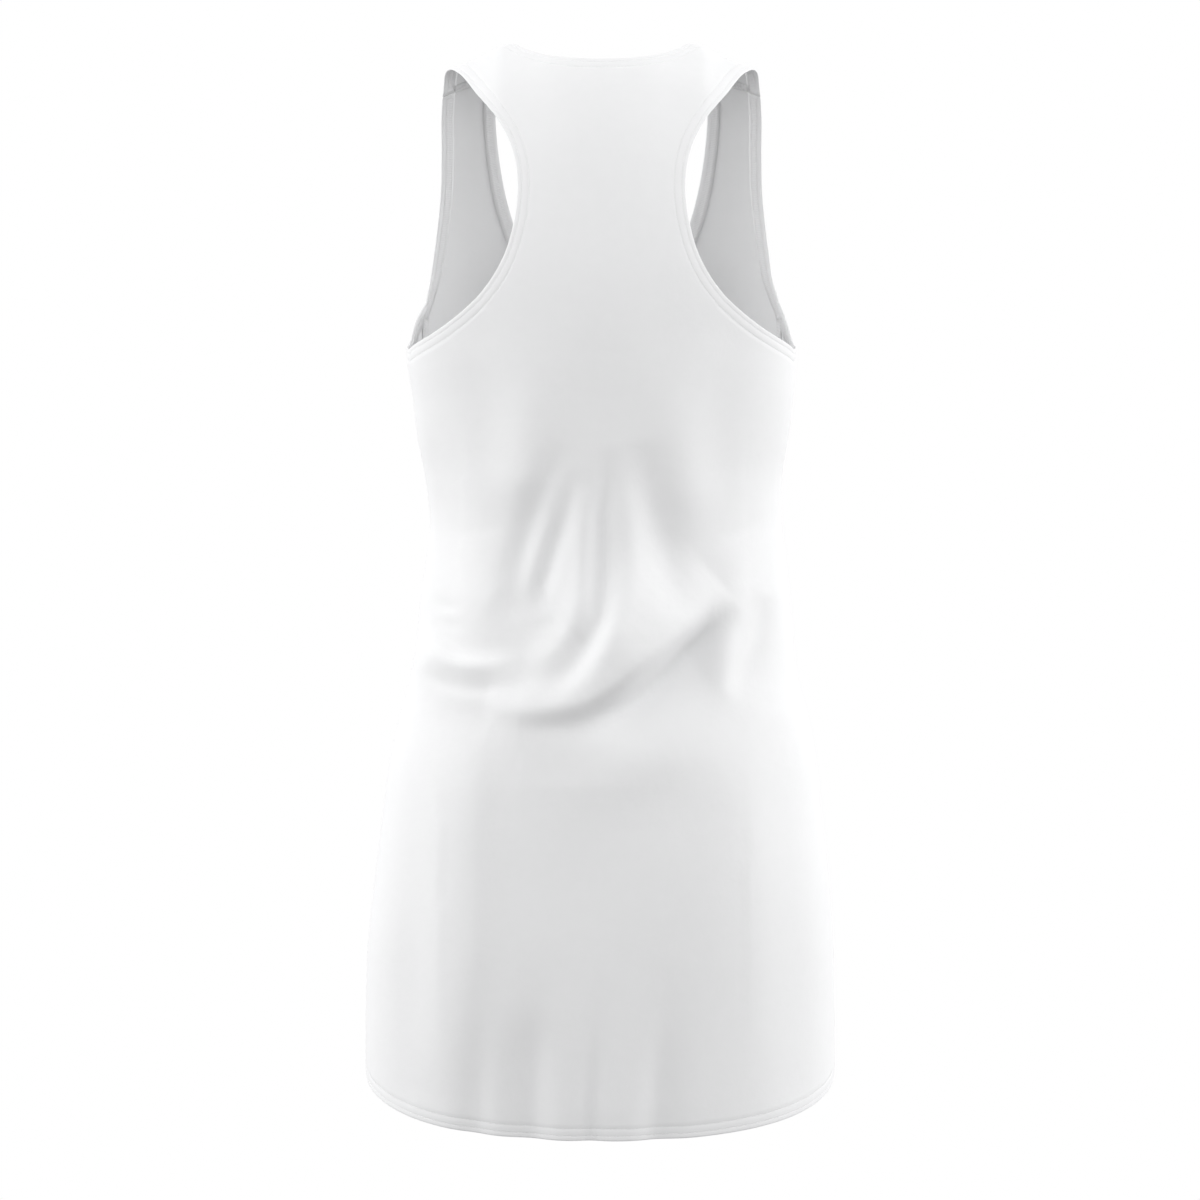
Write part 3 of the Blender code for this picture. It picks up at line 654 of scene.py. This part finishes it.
back = Panel(BACK)
seam_root = SHOULDER_GAP - np.sqrt(SHOULDER_SEAM_DROP)
back_armholes, back_edges, back_necks = {}, {}, {}
for sign in (1, -1):
    underarm = place(BACK_UNDERARM, sign)
    underarm[0, 0] = sign * (SEAM_AT_UNDERARM - UNDERARM_GAP)
    over = place(BACK_ARMHOLE_TOP, sign)
    over[-1, 1] = seam_root
    back_edges[sign] = joined(
        evenly(underarm, BACK_UNDERARM_CELLS, FIRST_STEPS),
        evenly(place(RACERBACK, sign), STEM_ROWS + YOKE_ROWS + NECK_ROWS),
        evenly(over, OVER_ROWS),
    )
    back_armholes[sign] = back.turn_in(back_edges[sign], BETWEEN_BLADES, SIDE, SHOULDER)
    neck_over = place(BACK_NECK_TOP, sign)
    neck_over[-1, 1] = seam_root
    half_neck = evenly(place(BACK_NECK, sign), RACER_HALF - STRAP + NECK_ROWS)
    back_necks[sign] = joined(half_neck, evenly(neck_over, OVER_ROWS))
back_neck = joined(back_necks[-1][::-1], back_necks[1])
back_neck_inner = back.turn_in(back_neck, BELOW_NECK, SHOULDER, SHOULDER)

# the body, the racerback, and above it the part below the neck with a strap on each side
low, high = BACK_UNDERARM_CELLS, BACK_UNDERARM_CELLS + STEM_ROWS
top = high + YOKE_ROWS
left, right = back_armholes[1], back_armholes[-1]
stem = np.linspace(right[low], left[low], 2 * RACER_HALF + 1)
back_bottom, back_bottom_inner = skirt(
    back, joined(right[:low + 1], stem, left[low::-1]), SEAM_AT_HEM - HEM_GAP
)
yoke = np.linspace(right[high], left[high], 2 * RACER_HALF + 1)
back.add(patch(stem, yoke, right[low:high + 1], left[low:high + 1]))
strap_rows = NECK_ROWS + OVER_ROWS
neck_right, neck_left = back_neck_inner[strap_rows::-1], back_neck_inner[-1 - strap_rows:]
split_right = np.linspace(yoke[STRAP], neck_right[0], YOKE_ROWS + 1)
split_left = np.linspace(yoke[-1 - STRAP], neck_left[0], YOKE_ROWS + 1)
below_neck = back_neck_inner[strap_rows:-strap_rows]
back.add(patch(yoke[STRAP:-STRAP], below_neck, split_right, split_left))
for edge, split, neck_edge, base in (
    (right, split_right, neck_right, yoke[:STRAP + 1]),
    (left, split_left, neck_left, yoke[:-2 - STRAP:-1]),
):
    start = np.linspace(edge[top], neck_edge[0], STRAP + 1)
    back.add(patch(base, start, edge[high:top + 1], split))
    seam = np.linspace(edge[-1], neck_edge[-1], STRAP + 1)
    back.add(patch(start, seam, edge[top:], neck_edge), dips(strap_rows + 1, at_end=True)[:, None])

back_panel = back.finished("back_panel_cloth", knit_face, shaded_knit_inside, CLOTH_WALL)
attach(back_panel, "root")
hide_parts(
    "back_panel", "neck_hem_back", "bottom_hem_back",
    "armhole_hem_back_left", "armhole_hem_back_right",
)

# ============ front panel
#
# The front is cut from the same jersey, with a deep scoop neck and two wide straps. It is
# rounded over the bust, and loose enough below it to fall in a few soft drapes.

FRONT_FOLDS = {
    "left bust": [(74, -222, 10, 40), (74, -260, 10)],
    "right bust": [(-74, -222, 10, 40), (-74, -260, 10)],
    "left drape": [
        (108, -272, 0, 14), (100, -296, -2), (84, -332, -5, 16, 15), (62, -375, -6, 17, 15),
        (36, -414, -3, 15), (18, -436, 0, 14),
    ],
    "right drape": [
        (-108, -280, 0, 14), (-101, -304, -2), (-86, -340, -4, 15, 16), (-62, -382, -6, 15, 17),
        (-32, -424, -2.5, 14, 15), (-14, -446, 0, 14),
    ],
    "left waist fold": [
        (130, -396, 0, 16, 10), (110, -414, 2.5, 18, 10), (88, -430, 5, 20, 11),
        (54, -442, 5, 22, 11), (18, -448, 2.5, 20, 12), (-14, -450, 0, 18, 12),
    ],
    "right waist fold": [
        (-132, -386, 0, 10, 15), (-112, -404, 2.5, 10, 16), (-88, -424, 5, 11, 18),
        (-56, -443, 4.5, 12, 20), (-26, -458, 1.5, 12, 18), (4, -466, 0),
    ],
    "centre drape": [
        (7, -276, 0, 14), (5, -304, -1.5), (2, -345, -4, 16), (2, -388, -4, 16, 15),
        (6, -424, -1.5, 14), (9, -446, 0),
    ],
    "small left drape": [
        (42, -312, 0, 9), (38, -340, -1.5), (32, -370, -2.5), (24, -400, -1), (18, -420, 0),
    ],
    "small right drape": [
        (-39, -322, 0, 9), (-37, -346, -1.2), (-34, -374, -2.2), (-28, -404, -1), (-23, -424, 0),
    ],
    "left edge of the skirt's flat middle": [
        (96, -490, 0, 32, 28), (98, -540, 1.5), (102, -640, 4, 34, 26), (104, -780, 3),
    ],
    "right edge of the skirt's flat middle": [
        (-96, -490, 0, 28, 32), (-98, -540, 1.5), (-102, -640, 4, 26, 34), (-106, -780, 3),
    ],
    "left hem flute": [
        (40, -684, 0, 14), (45, -730, -1.8), (50, -785, -6, 15), (53, -850, -8, 16, 15),
    ],
    "middle hem flute": [
        (-12, -700, 0, 12), (-9, -745, -1.5), (-6, -795, -5, 13, 14), (-4, -850, -7, 14, 15),
    ],
    "right hem flute": [
        (-53, -678, 0, 14), (-57, -726, -1.8), (-62, -784, -6, 15), (-66, -850, -8, 15, 16),
    ],
}
FRONT_ARMHOLE = [
    (139, -197), (136.4, -180), (133.2, -157), (130.5, -136), (128, -112), (127, -85), (126.8, -55),
    (125.6, -38),
]
# The scoop neck is half an ellipse below the straps
SCOOP_HALF_WIDTH, SCOOP_TOP, SCOOP_DEPTH = 84.5, -40.0, 168.0
SCOOP_CORNER = np.radians(60.0)  # where the neckline turns from its bottom to its sides
SCOOP_STRAP = [(84.3, -27), (83.5, -20)]
CHEST = (0, np.sqrt(300))  # a place on the front
# Cells along half the bottom of the neckline, below the armhole and across a strap; strap rows
SCOOP_HALF, FRONT_SIDE, FRONT_STRAP, FRONT_STRAP_ROWS = 28, 4, 34, 64


def scoop(first_turn, last_turn, count):
    """Edge rows along the bottom of the front neckline, or up its side."""
    turns = np.linspace(first_turn, last_turn, count)
    return [(SCOOP_HALF_WIDTH * np.cos(t), SCOOP_TOP - SCOOP_DEPTH * np.sin(t)) for t in turns]


front = Panel(FRONT)
seam_root = SHOULDER_GAP + np.sqrt(SHOULDER_SEAM_DROP)
front_armholes, front_edges, front_necks = {}, {}, {}
for sign in (1, -1):
    rows = place(FRONT_ARMHOLE, sign)
    rows[0, 0] = sign * (np.pi - SEAM_AT_UNDERARM - UNDERARM_GAP)
    rows[-1, 1] = seam_root
    front_edges[sign] = evenly(rows, FRONT_SIDE + FRONT_STRAP_ROWS, FIRST_STEPS)
    front_armholes[sign] = front.turn_in(front_edges[sign], CHEST, SIDE, SHOULDER)
    side = place(scoop(SCOOP_CORNER, 0, 9) + SCOOP_STRAP, sign)
    side[-1, 1] = seam_root
    bottom = evenly(place(scoop(np.pi / 2, SCOOP_CORNER, 4), sign), SCOOP_HALF)
    front_necks[sign] = joined(bottom, evenly(side, FRONT_STRAP_ROWS))
front_neck = joined(front_necks[-1][::-1], front_necks[1])
front_neck_inner = front.turn_in(front_neck, CHEST, SHOULDER, SHOULDER)

left, right = front_armholes[1], front_armholes[-1]
neck_right = front_neck_inner[FRONT_STRAP_ROWS::-1]
neck_left = front_neck_inner[-1 - FRONT_STRAP_ROWS:]
base_right = np.linspace(right[FRONT_SIDE], neck_right[0], FRONT_STRAP + 1)
base_left = np.linspace(left[FRONT_SIDE], neck_left[0], FRONT_STRAP + 1)
front_bottom, front_bottom_inner = skirt(
    front,
    joined(
        right[:FRONT_SIDE + 1], base_right, front_neck_inner[FRONT_STRAP_ROWS:-FRONT_STRAP_ROWS],
        base_left[::-1], left[FRONT_SIDE::-1],
    ),
    np.pi - SEAM_AT_HEM - HEM_GAP,
)
for edge, base, neck_edge in ((right, base_right, neck_right), (left, base_left, neck_left)):
    seam = np.linspace(edge[-1], neck_edge[-1], FRONT_STRAP + 1)
    front.add(
        patch(base, seam, edge[FRONT_SIDE:], neck_edge),
        dips(FRONT_STRAP_ROWS + 1, at_end=True)[:, None],
    )

front_panel = front.finished("front_panel_cloth", knit_face, shaded_knit_inside, CLOTH_WALL)
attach(front_panel, "root")
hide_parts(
    "front_panel", "neck_hem_front", "bottom_hem_front",
    "armhole_hem_front_left", "armhole_hem_front_right",
)

# ============ side and shoulder seams
#
# The panels are sewn together right sides in. The two seam allowances, overlocked together
# along their raw edge, are pressed to the back and lie flat under the back panel.

ALLOWANCE, SHOULDER_ALLOWANCE = 7.0, 6.5
ALLOWANCE_TOP, ALLOWANCE_WALL = 0.75, 1.1  # its depth under the outer face, and thickness


def allowance(name, seam_line, inner_line, *nodes):
    """The two layers of an allowance as one closed strip under the back panel."""
    # once round the strip: how far across it, and how deep in it
    steps = [0, 0.04, 0.5, 0.96, 1, 0.96, 0.5, 0.04, 0]
    depths = [0.2, 0, 0, 0, 0.5, 1, 1, 1, 0.8]
    strip = Panel(BACK)
    rows = np.stack([seam_line + (inner_line - seam_line) * share for share in steps])
    strip.add(rows, (ALLOWANCE_TOP + ALLOWANCE_WALL * np.array(depths))[:, None])
    # both faces of the allowance take the inside jersey, whose darker colour is painted shade
    piece = strip.finished(name, shaded_knit_inside, shaded_knit_inside)
    shape = bmesh.new()
    shape.from_mesh(piece.data)
    bmesh.ops.holes_fill(shape, edges=[e for e in shape.edges if e.is_boundary])
    bmesh.ops.recalc_face_normals(shape, faces=shape.faces)
    shape.to_mesh(piece.data)
    shape.free()
    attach(piece, "root")
    if nodes:
        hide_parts(*nodes)
    return piece


allowances, overlock_lines = [], []
for sign, side_name in ((1, "left"), (-1, "right")):
    top_place, hem_place = back_armholes[sign][0], back_bottom_inner[-1 if sign == 1 else 0]
    line = ruled(np.array([hem_place]), np.array([top_place]), np.linspace(0, 1, 150))[:, 0]
    width = ALLOWANCE / np.linalg.norm(step_of(BACK, line)[0], axis=1)
    inner = line - np.stack([sign * width, np.zeros(len(line))], axis=1)
    allowances.append(
        allowance(f"side_allowance_{side_name}", line, inner, f"side_seam_{side_name}")
    )
    overlock_lines.append((line, inner))
    strap_line = np.linspace(back_armholes[sign][-1], back_neck_inner[-1 if sign == 1 else 0], 24)
    drop = SHOULDER_ALLOWANCE / np.linalg.norm(step_of(BACK, strap_line)[1], axis=1)
    inner = strap_line + np.stack([np.zeros(len(strap_line)), drop], axis=1)
    allowances.append(allowance(f"shoulder_allowance_{side_name}", strap_line, inner))
    overlock_lines.append((strap_line, inner))

# ============ needle stitches
#
# The neck, armholes and hem are sewn with a twin needle: two even rows of short stitches in
# white polyester thread, a quarter of an inch apart, pulled a little into the cloth.

STITCH, STITCH_GAP = 2.35, 0.45  # length of a stitch, and the gap to the next
THREAD, NEEDLE_DEPTH = 0.17, 0.12  # half the thread's thickness, and how deep its rows lie


def thread_finish():
    """White spun polyester thread, its twist shown as a fine slanting bump."""
    made, nodes, shader = new_paint("white sewing thread")
    where = nodes.new("ShaderNodeTexCoord")
    twist = nodes.new("ShaderNodeTexNoise")
    dial(twist, {"Scale": 4200.0, "Detail": 2.0, "Vector": where.outputs["Object"]})
    tint = nodes.new("ShaderNodeMix")
    tint.data_type = "RGBA"
    dial(tint, {
        "A": (0.80, 0.80, 0.805, 1), "B": (0.93, 0.93, 0.935, 1), "Factor": twist.outputs[0],
    })
    bump = nodes.new("ShaderNodeBump")
    dial(bump, {"Strength": 0.4, "Distance": 0.00006, "Height": twist.outputs[0]})
    dial(shader, {
        "Base Color": tint.outputs["Result"], "Normal": bump.outputs[0], "Roughness": 0.55,
        "Sheen Weight": 0.15,
    })
    return made


def sewing_tree():
    """Repeats one stitch along lines that know which way is out of the cloth."""
    tree = bpy.data.node_groups.new("stitches along lines", "GeometryNodeTree")
    tree.is_modifier = True
    for name, kind, way in (
        ("Lines", "Geometry", "INPUT"), ("Stitch", "Object", "INPUT"),
        ("Spacing", "Float", "INPUT"), ("Thread", "Material", "INPUT"),
        ("Sewn", "Geometry", "OUTPUT"),
    ):
        tree.interface.new_socket(name, in_out=way, socket_type="NodeSocket" + kind)
    nodes = tree.nodes
    start, end = nodes.new("NodeGroupInput"), nodes.new("NodeGroupOutput")
    curve = nodes.new("GeometryNodeMeshToCurve")
    points = nodes.new("GeometryNodeCurveToPoints")
    points.mode = "LENGTH"
    outward = nodes.new("GeometryNodeInputNamedAttribute")
    outward.data_type = "FLOAT_VECTOR"
    outward.inputs["Name"].default_value = "outward"
    turn = nodes.new("FunctionNodeAxesToRotation")
    turn.primary_axis, turn.secondary_axis = "Z", "X"
    stitch = nodes.new("GeometryNodeObjectInfo")
    place_each = nodes.new("GeometryNodeInstanceOnPoints")
    real = nodes.new("GeometryNodeRealizeInstances")
    finish = nodes.new("GeometryNodeSetMaterial")
    for source, output, target, entry in (
        (start, "Lines", curve, "Mesh"), (curve, "Curve", points, "Curve"),
        (start, "Spacing", points, "Length"), (outward, "Attribute", turn, "Primary Axis"),
        (points, "Tangent", turn, "Secondary Axis"), (start, "Stitch", stitch, "Object"),
        (points, "Points", place_each, "Points"), (stitch, "Geometry", place_each, "Instance"),
        (turn, "Rotation", place_each, "Rotation"), (place_each, "Instances", real, "Geometry"),
        (real, "Geometry", finish, "Geometry"), (start, "Thread", finish, "Material"),
        (finish, "Geometry", end, "Sewn"),
    ):
        tree.links.new(source.outputs[output], target.inputs[entry])
    return tree


def thread_shape(name, paths, radius, sides):
    """One stitch: a thread of the given radius swept along each path, in mm."""
    shape = bmesh.new()
    for path in paths:
        path = np.array(path, float)
        tangent = unit(np.gradient(path, axis=0))
        up = np.tile([0.0, 0.0, 1.0], (len(path), 1))
        side = unit(np.cross(tangent, up))
        lift = np.cross(side, tangent)
        rings = []
        for point, s, u in zip(path, side, lift):
            turns = np.linspace(0, 2 * np.pi, sides, endpoint=False)
            ring = [point + radius * (np.cos(t) * s + np.sin(t) * u) for t in turns]
            rings.append([shape.verts.new(p * MM) for p in ring])
        for one, two in zip(rings, rings[1:]):
            for i in range(sides):
                j = (i + 1) % sides
                shape.faces.new((one[i], one[j], two[j], two[i]))
        shape.faces.new(rings[0][::-1])
        shape.faces.new(rings[-1])
    bmesh.ops.recalc_face_normals(shape, faces=shape.faces)
    for cell in shape.faces:
        cell.smooth = True
    mesh = bpy.data.meshes.new(name)
    shape.to_mesh(mesh)
    shape.free()
    return shown(name, mesh)


def sewn(name, lines, stitch, spacing):
    """A run of stitches along lines of (points, outward) in mm, as one plain mesh."""
    points = np.concatenate([p for p, _ in lines]) * MM
    outward = np.concatenate([o for _, o in lines])
    edges, start = [], 0
    for p, _ in lines:
        edges += [(start + i, start + i + 1) for i in range(len(p) - 1)]
        start += len(p)
    mesh = bpy.data.meshes.new(name + "_lines")
    mesh.from_pydata(points.tolist(), edges, [])
    facing = mesh.attributes.new("outward", "FLOAT_VECTOR", "POINT")
    facing.data.foreach_set("vector", outward.ravel())
    guide = shown(name + "_lines", mesh)
    run = guide.modifiers.new("sewing", "NODES")
    run.node_group = sewing
    sockets = {s.name: s.identifier for s in sewing.interface.items_tree}
    run[sockets["Stitch"]] = stitch
    run[sockets["Spacing"]] = spacing * MM
    run[sockets["Thread"]] = thread
    bpy.context.view_layer.update()
    ready = guide.evaluated_get(bpy.context.evaluated_depsgraph_get())
    piece = shown(name, bpy.data.meshes.new_from_object(ready))
    bpy.data.objects.remove(guide)
    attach(piece, "root")
    return piece


def hem_line(face, edge, inner, distance, depth):
    """A line along a hem at a distance in from its folded edge, under the outer face by depth."""
    places = edge + (inner - edge) * distance / HEM_WIDTH
    outward = outward_at(face, places)
    return cloth_point(face, places) - outward * depth, outward


thread = thread_finish()
sewing = sewing_tree()
half = STITCH / 2
needle_stitch = thread_shape(
    "needle_stitch",
    [[
        (-half, 0, -0.22), (-half * 0.72, 0, 0.02), (0, 0, 0.10), (half * 0.72, 0, 0.02),
        (half, 0, -0.22),
    ]],
    THREAD, 5,
)
sewn_hems = {
    "back": (BACK, [
        (back_edges[1], back_armholes[1]), (back_edges[-1], back_armholes[-1]),
        (back_neck, back_neck_inner), (back_bottom, back_bottom_inner),
    ]),
    "front": (FRONT, [
        (front_edges[1], front_armholes[1]), (front_edges[-1], front_armholes[-1]),
        (front_neck, front_neck_inner), (front_bottom, front_bottom_inner),
    ]),
}
for name, (face, hems) in sewn_hems.items():
    lines = [
        hem_line(face, edge, inner, row, NEEDLE_DEPTH) for edge, inner in hems for row in NEEDLE_ROWS
    ]
    sewn(f"needle_stitches_{name}", lines, needle_stitch, STITCH + STITCH_GAP)

# ============ looper threads
#
# Under the hems the looper thread runs from one needle row to the other and back, just short of
# the raw edge. It shows as a soft zigzag band inside the armholes and the neck.

LOOP_THREAD, LOOP_CLEARANCE = 0.14, 0.08  # half its thickness, and its gap under the hem
zig, half_band = (STITCH + STITCH_GAP) / 2, (NEEDLE_ROWS[1] - NEEDLE_ROWS[0]) / 2
looper = thread_shape(
    "looper_thread",
    [
        [
            (-zig, -half_band, 0), (-zig * 0.3, -half_band, 0.1), (0, half_band, 0),
            (zig * 0.7, half_band, 0.1), (zig, -half_band, 0),
        ],
        [
            (-zig, half_band, 0.1), (-zig * 0.3, half_band, 0), (0, -half_band, 0.1),
            (zig * 0.7, -half_band, 0), (zig, half_band, 0.1),
        ],
    ],
    LOOP_THREAD, 4,
)
for name, (face, hems) in sewn_hems.items():
    middle = sum(NEEDLE_ROWS) / 2
    lines = []
    for edge, inner in hems:
        points, outward = hem_line(face, edge, inner, middle, TURNED_DEPTH + LOOP_CLEARANCE)
        lines.append((points, -outward))
    sewn(f"looper_threads_{name}", lines, looper, 2 * zig)

# ============ overlock threads
#
# The overlock's loops hold the two layers of each allowance together. They lie across it,
# nearly from the seam to the raw edge.

LOCK_SPACING, lock_half = 2.4, 2.4
overlock = thread_shape(
    "overlock_thread",
    [[
        (-1.2, lock_half, 0.0), (-0.4, lock_half, 0.12), (0.1, -lock_half, 0.1),
        (0.5, -lock_half - 0.35, -0.4), (0.8, -lock_half, 0.1), (1.2, lock_half, 0.0),
    ]],
    LOOP_THREAD, 4,
)
lines = []
for line, inner in overlock_lines:
    places = line + (inner - line) * 0.6
    outward = outward_at(BACK, places)
    under = ALLOWANCE_TOP + ALLOWANCE_WALL + 0.1
    lines.append((cloth_point(BACK, places) - outward * under, -outward))
overlock_threads = sewn("overlock_threads", lines, overlock, LOCK_SPACING)
for pattern in (needle_stitch, looper, overlock):
    bpy.data.objects.remove(pattern)

# ============ floor, light and camera
#
# The dress stands out as if worn, over a round pale floor, against white. Broad soft light
# comes from both sides and above, and the camera looks level at the back from 3.2 m.

FLOOR_HEIGHT, FLOOR_RADIUS = -1.2, 1.9
floor_shape = bmesh.new()
bmesh.ops.create_circle(floor_shape, cap_ends=True, segments=96, radius=FLOOR_RADIUS)
bmesh.ops.translate(floor_shape, verts=floor_shape.verts, vec=(0, 0, FLOOR_HEIGHT))
floor_mesh = bpy.data.meshes.new("floor")
floor_shape.to_mesh(floor_mesh)
floor_shape.free()
floor_paint, _, shader = new_paint("pale floor")
dial(shader, {"Base Color": (0.82, 0.82, 0.82, 1), "Roughness": 0.9})
floor_mesh.materials.append(floor_paint)
floor = shown("floor", floor_mesh)
floor.visible_diffuse = False   # it throws no light up at the dress

# The surroundings are pure white where the camera sees them. The light they give is even, with
# a little more from above and a little less from the left, and most of all from both sides,
# where it grows with height from below the level of the dress.
ALL_ROUND, FROM_ABOVE, FROM_LEFT = 0.31, 0.08, -0.06
FROM_SIDES, SIDES_FROM = 1.80, 0.80
around = bpy.data.worlds.new("white studio")
around.use_nodes = True
bpy.context.scene.world = around
nodes = around.node_tree.nodes
nodes.clear()
sum_of = partial(maths, around.node_tree)
direction = nodes.new("ShaderNodeTexCoord")
apart = nodes.new("ShaderNodeSeparateXYZ")
dial(apart, {0: direction.outputs["Generated"]})
leftwards = sum_of("MULTIPLY", apart.outputs[0], FROM_LEFT)
upwards = sum_of("MULTIPLY", apart.outputs[2], FROM_ABOVE)
level = sum_of("ADD", sum_of("ADD", upwards, leftwards), ALL_ROUND)
sideways = sum_of("MULTIPLY", apart.outputs[0], apart.outputs[0])
raised = sum_of("MULTIPLY", sum_of("ADD", apart.outputs[2], SIDES_FROM), FROM_SIDES)
from_sides = sum_of("MAXIMUM", sum_of("MULTIPLY", sideways, raised), 0.0)
strength = sum_of("ADD", level, from_sides)
glow, plain = nodes.new("ShaderNodeBackground"), nodes.new("ShaderNodeBackground")
dial(glow, {"Color": (1, 1, 1, 1), "Strength": strength})
dial(plain, {"Color": (1, 1, 1, 1)})
seen = nodes.new("ShaderNodeLightPath")
either = nodes.new("ShaderNodeMixShader")
dial(either, {0: seen.outputs["Is Camera Ray"], 1: glow.outputs[0], 2: plain.outputs[0]})
dial(nodes.new("ShaderNodeOutputWorld"), {"Surface": either.outputs[0]})

DRESS_MIDDLE = Vector((0, 0, -0.42))
for name, stands_at, size, power in (
    ("left softbox", (1.8, -0.05, 0.20), 1.3, 8.0),
    ("right softbox", (-1.8, -0.10, 0.20), 1.3, 7.0),
    ("top softbox", (0.10, 1.60, 0.30), 1.2, 7.0),
    ("front softbox", (0.0, -1.9, 0.5), 1.4, 6.0),
):
    light = bpy.data.lights.new(name, "AREA")
    light.shape = "DISK"
    light.size = size
    light.energy = power
    stand = shown(name, light)
    stand.location = stands_at
    aim = DRESS_MIDDLE - stand.location
    stand.rotation_euler = aim.to_track_quat("-Z", "Y").to_euler()

# 1200 pixels across cover 938 mm at the middle of the dress
CAMERA_ASIDE, CAMERA_DISTANCE, CAMERA_HEIGHT, COVERED = 0.0012, 3.2, -0.434, 0.9384
SENSOR = 36.0
eye = bpy.data.cameras.new("camera")
eye.sensor_width = SENSOR
eye.lens = SENSOR * CAMERA_DISTANCE / COVERED
eye.clip_end = 50.0
camera = shown("camera", eye)
camera.location = (CAMERA_ASIDE, CAMERA_DISTANCE, CAMERA_HEIGHT)
camera.rotation_euler = (np.pi / 2, 0, np.pi)
bpy.context.scene.camera = camera
bpy.context.scene.view_settings.view_transform = "Standard"
bpy.context.scene.view_settings.look = "None"
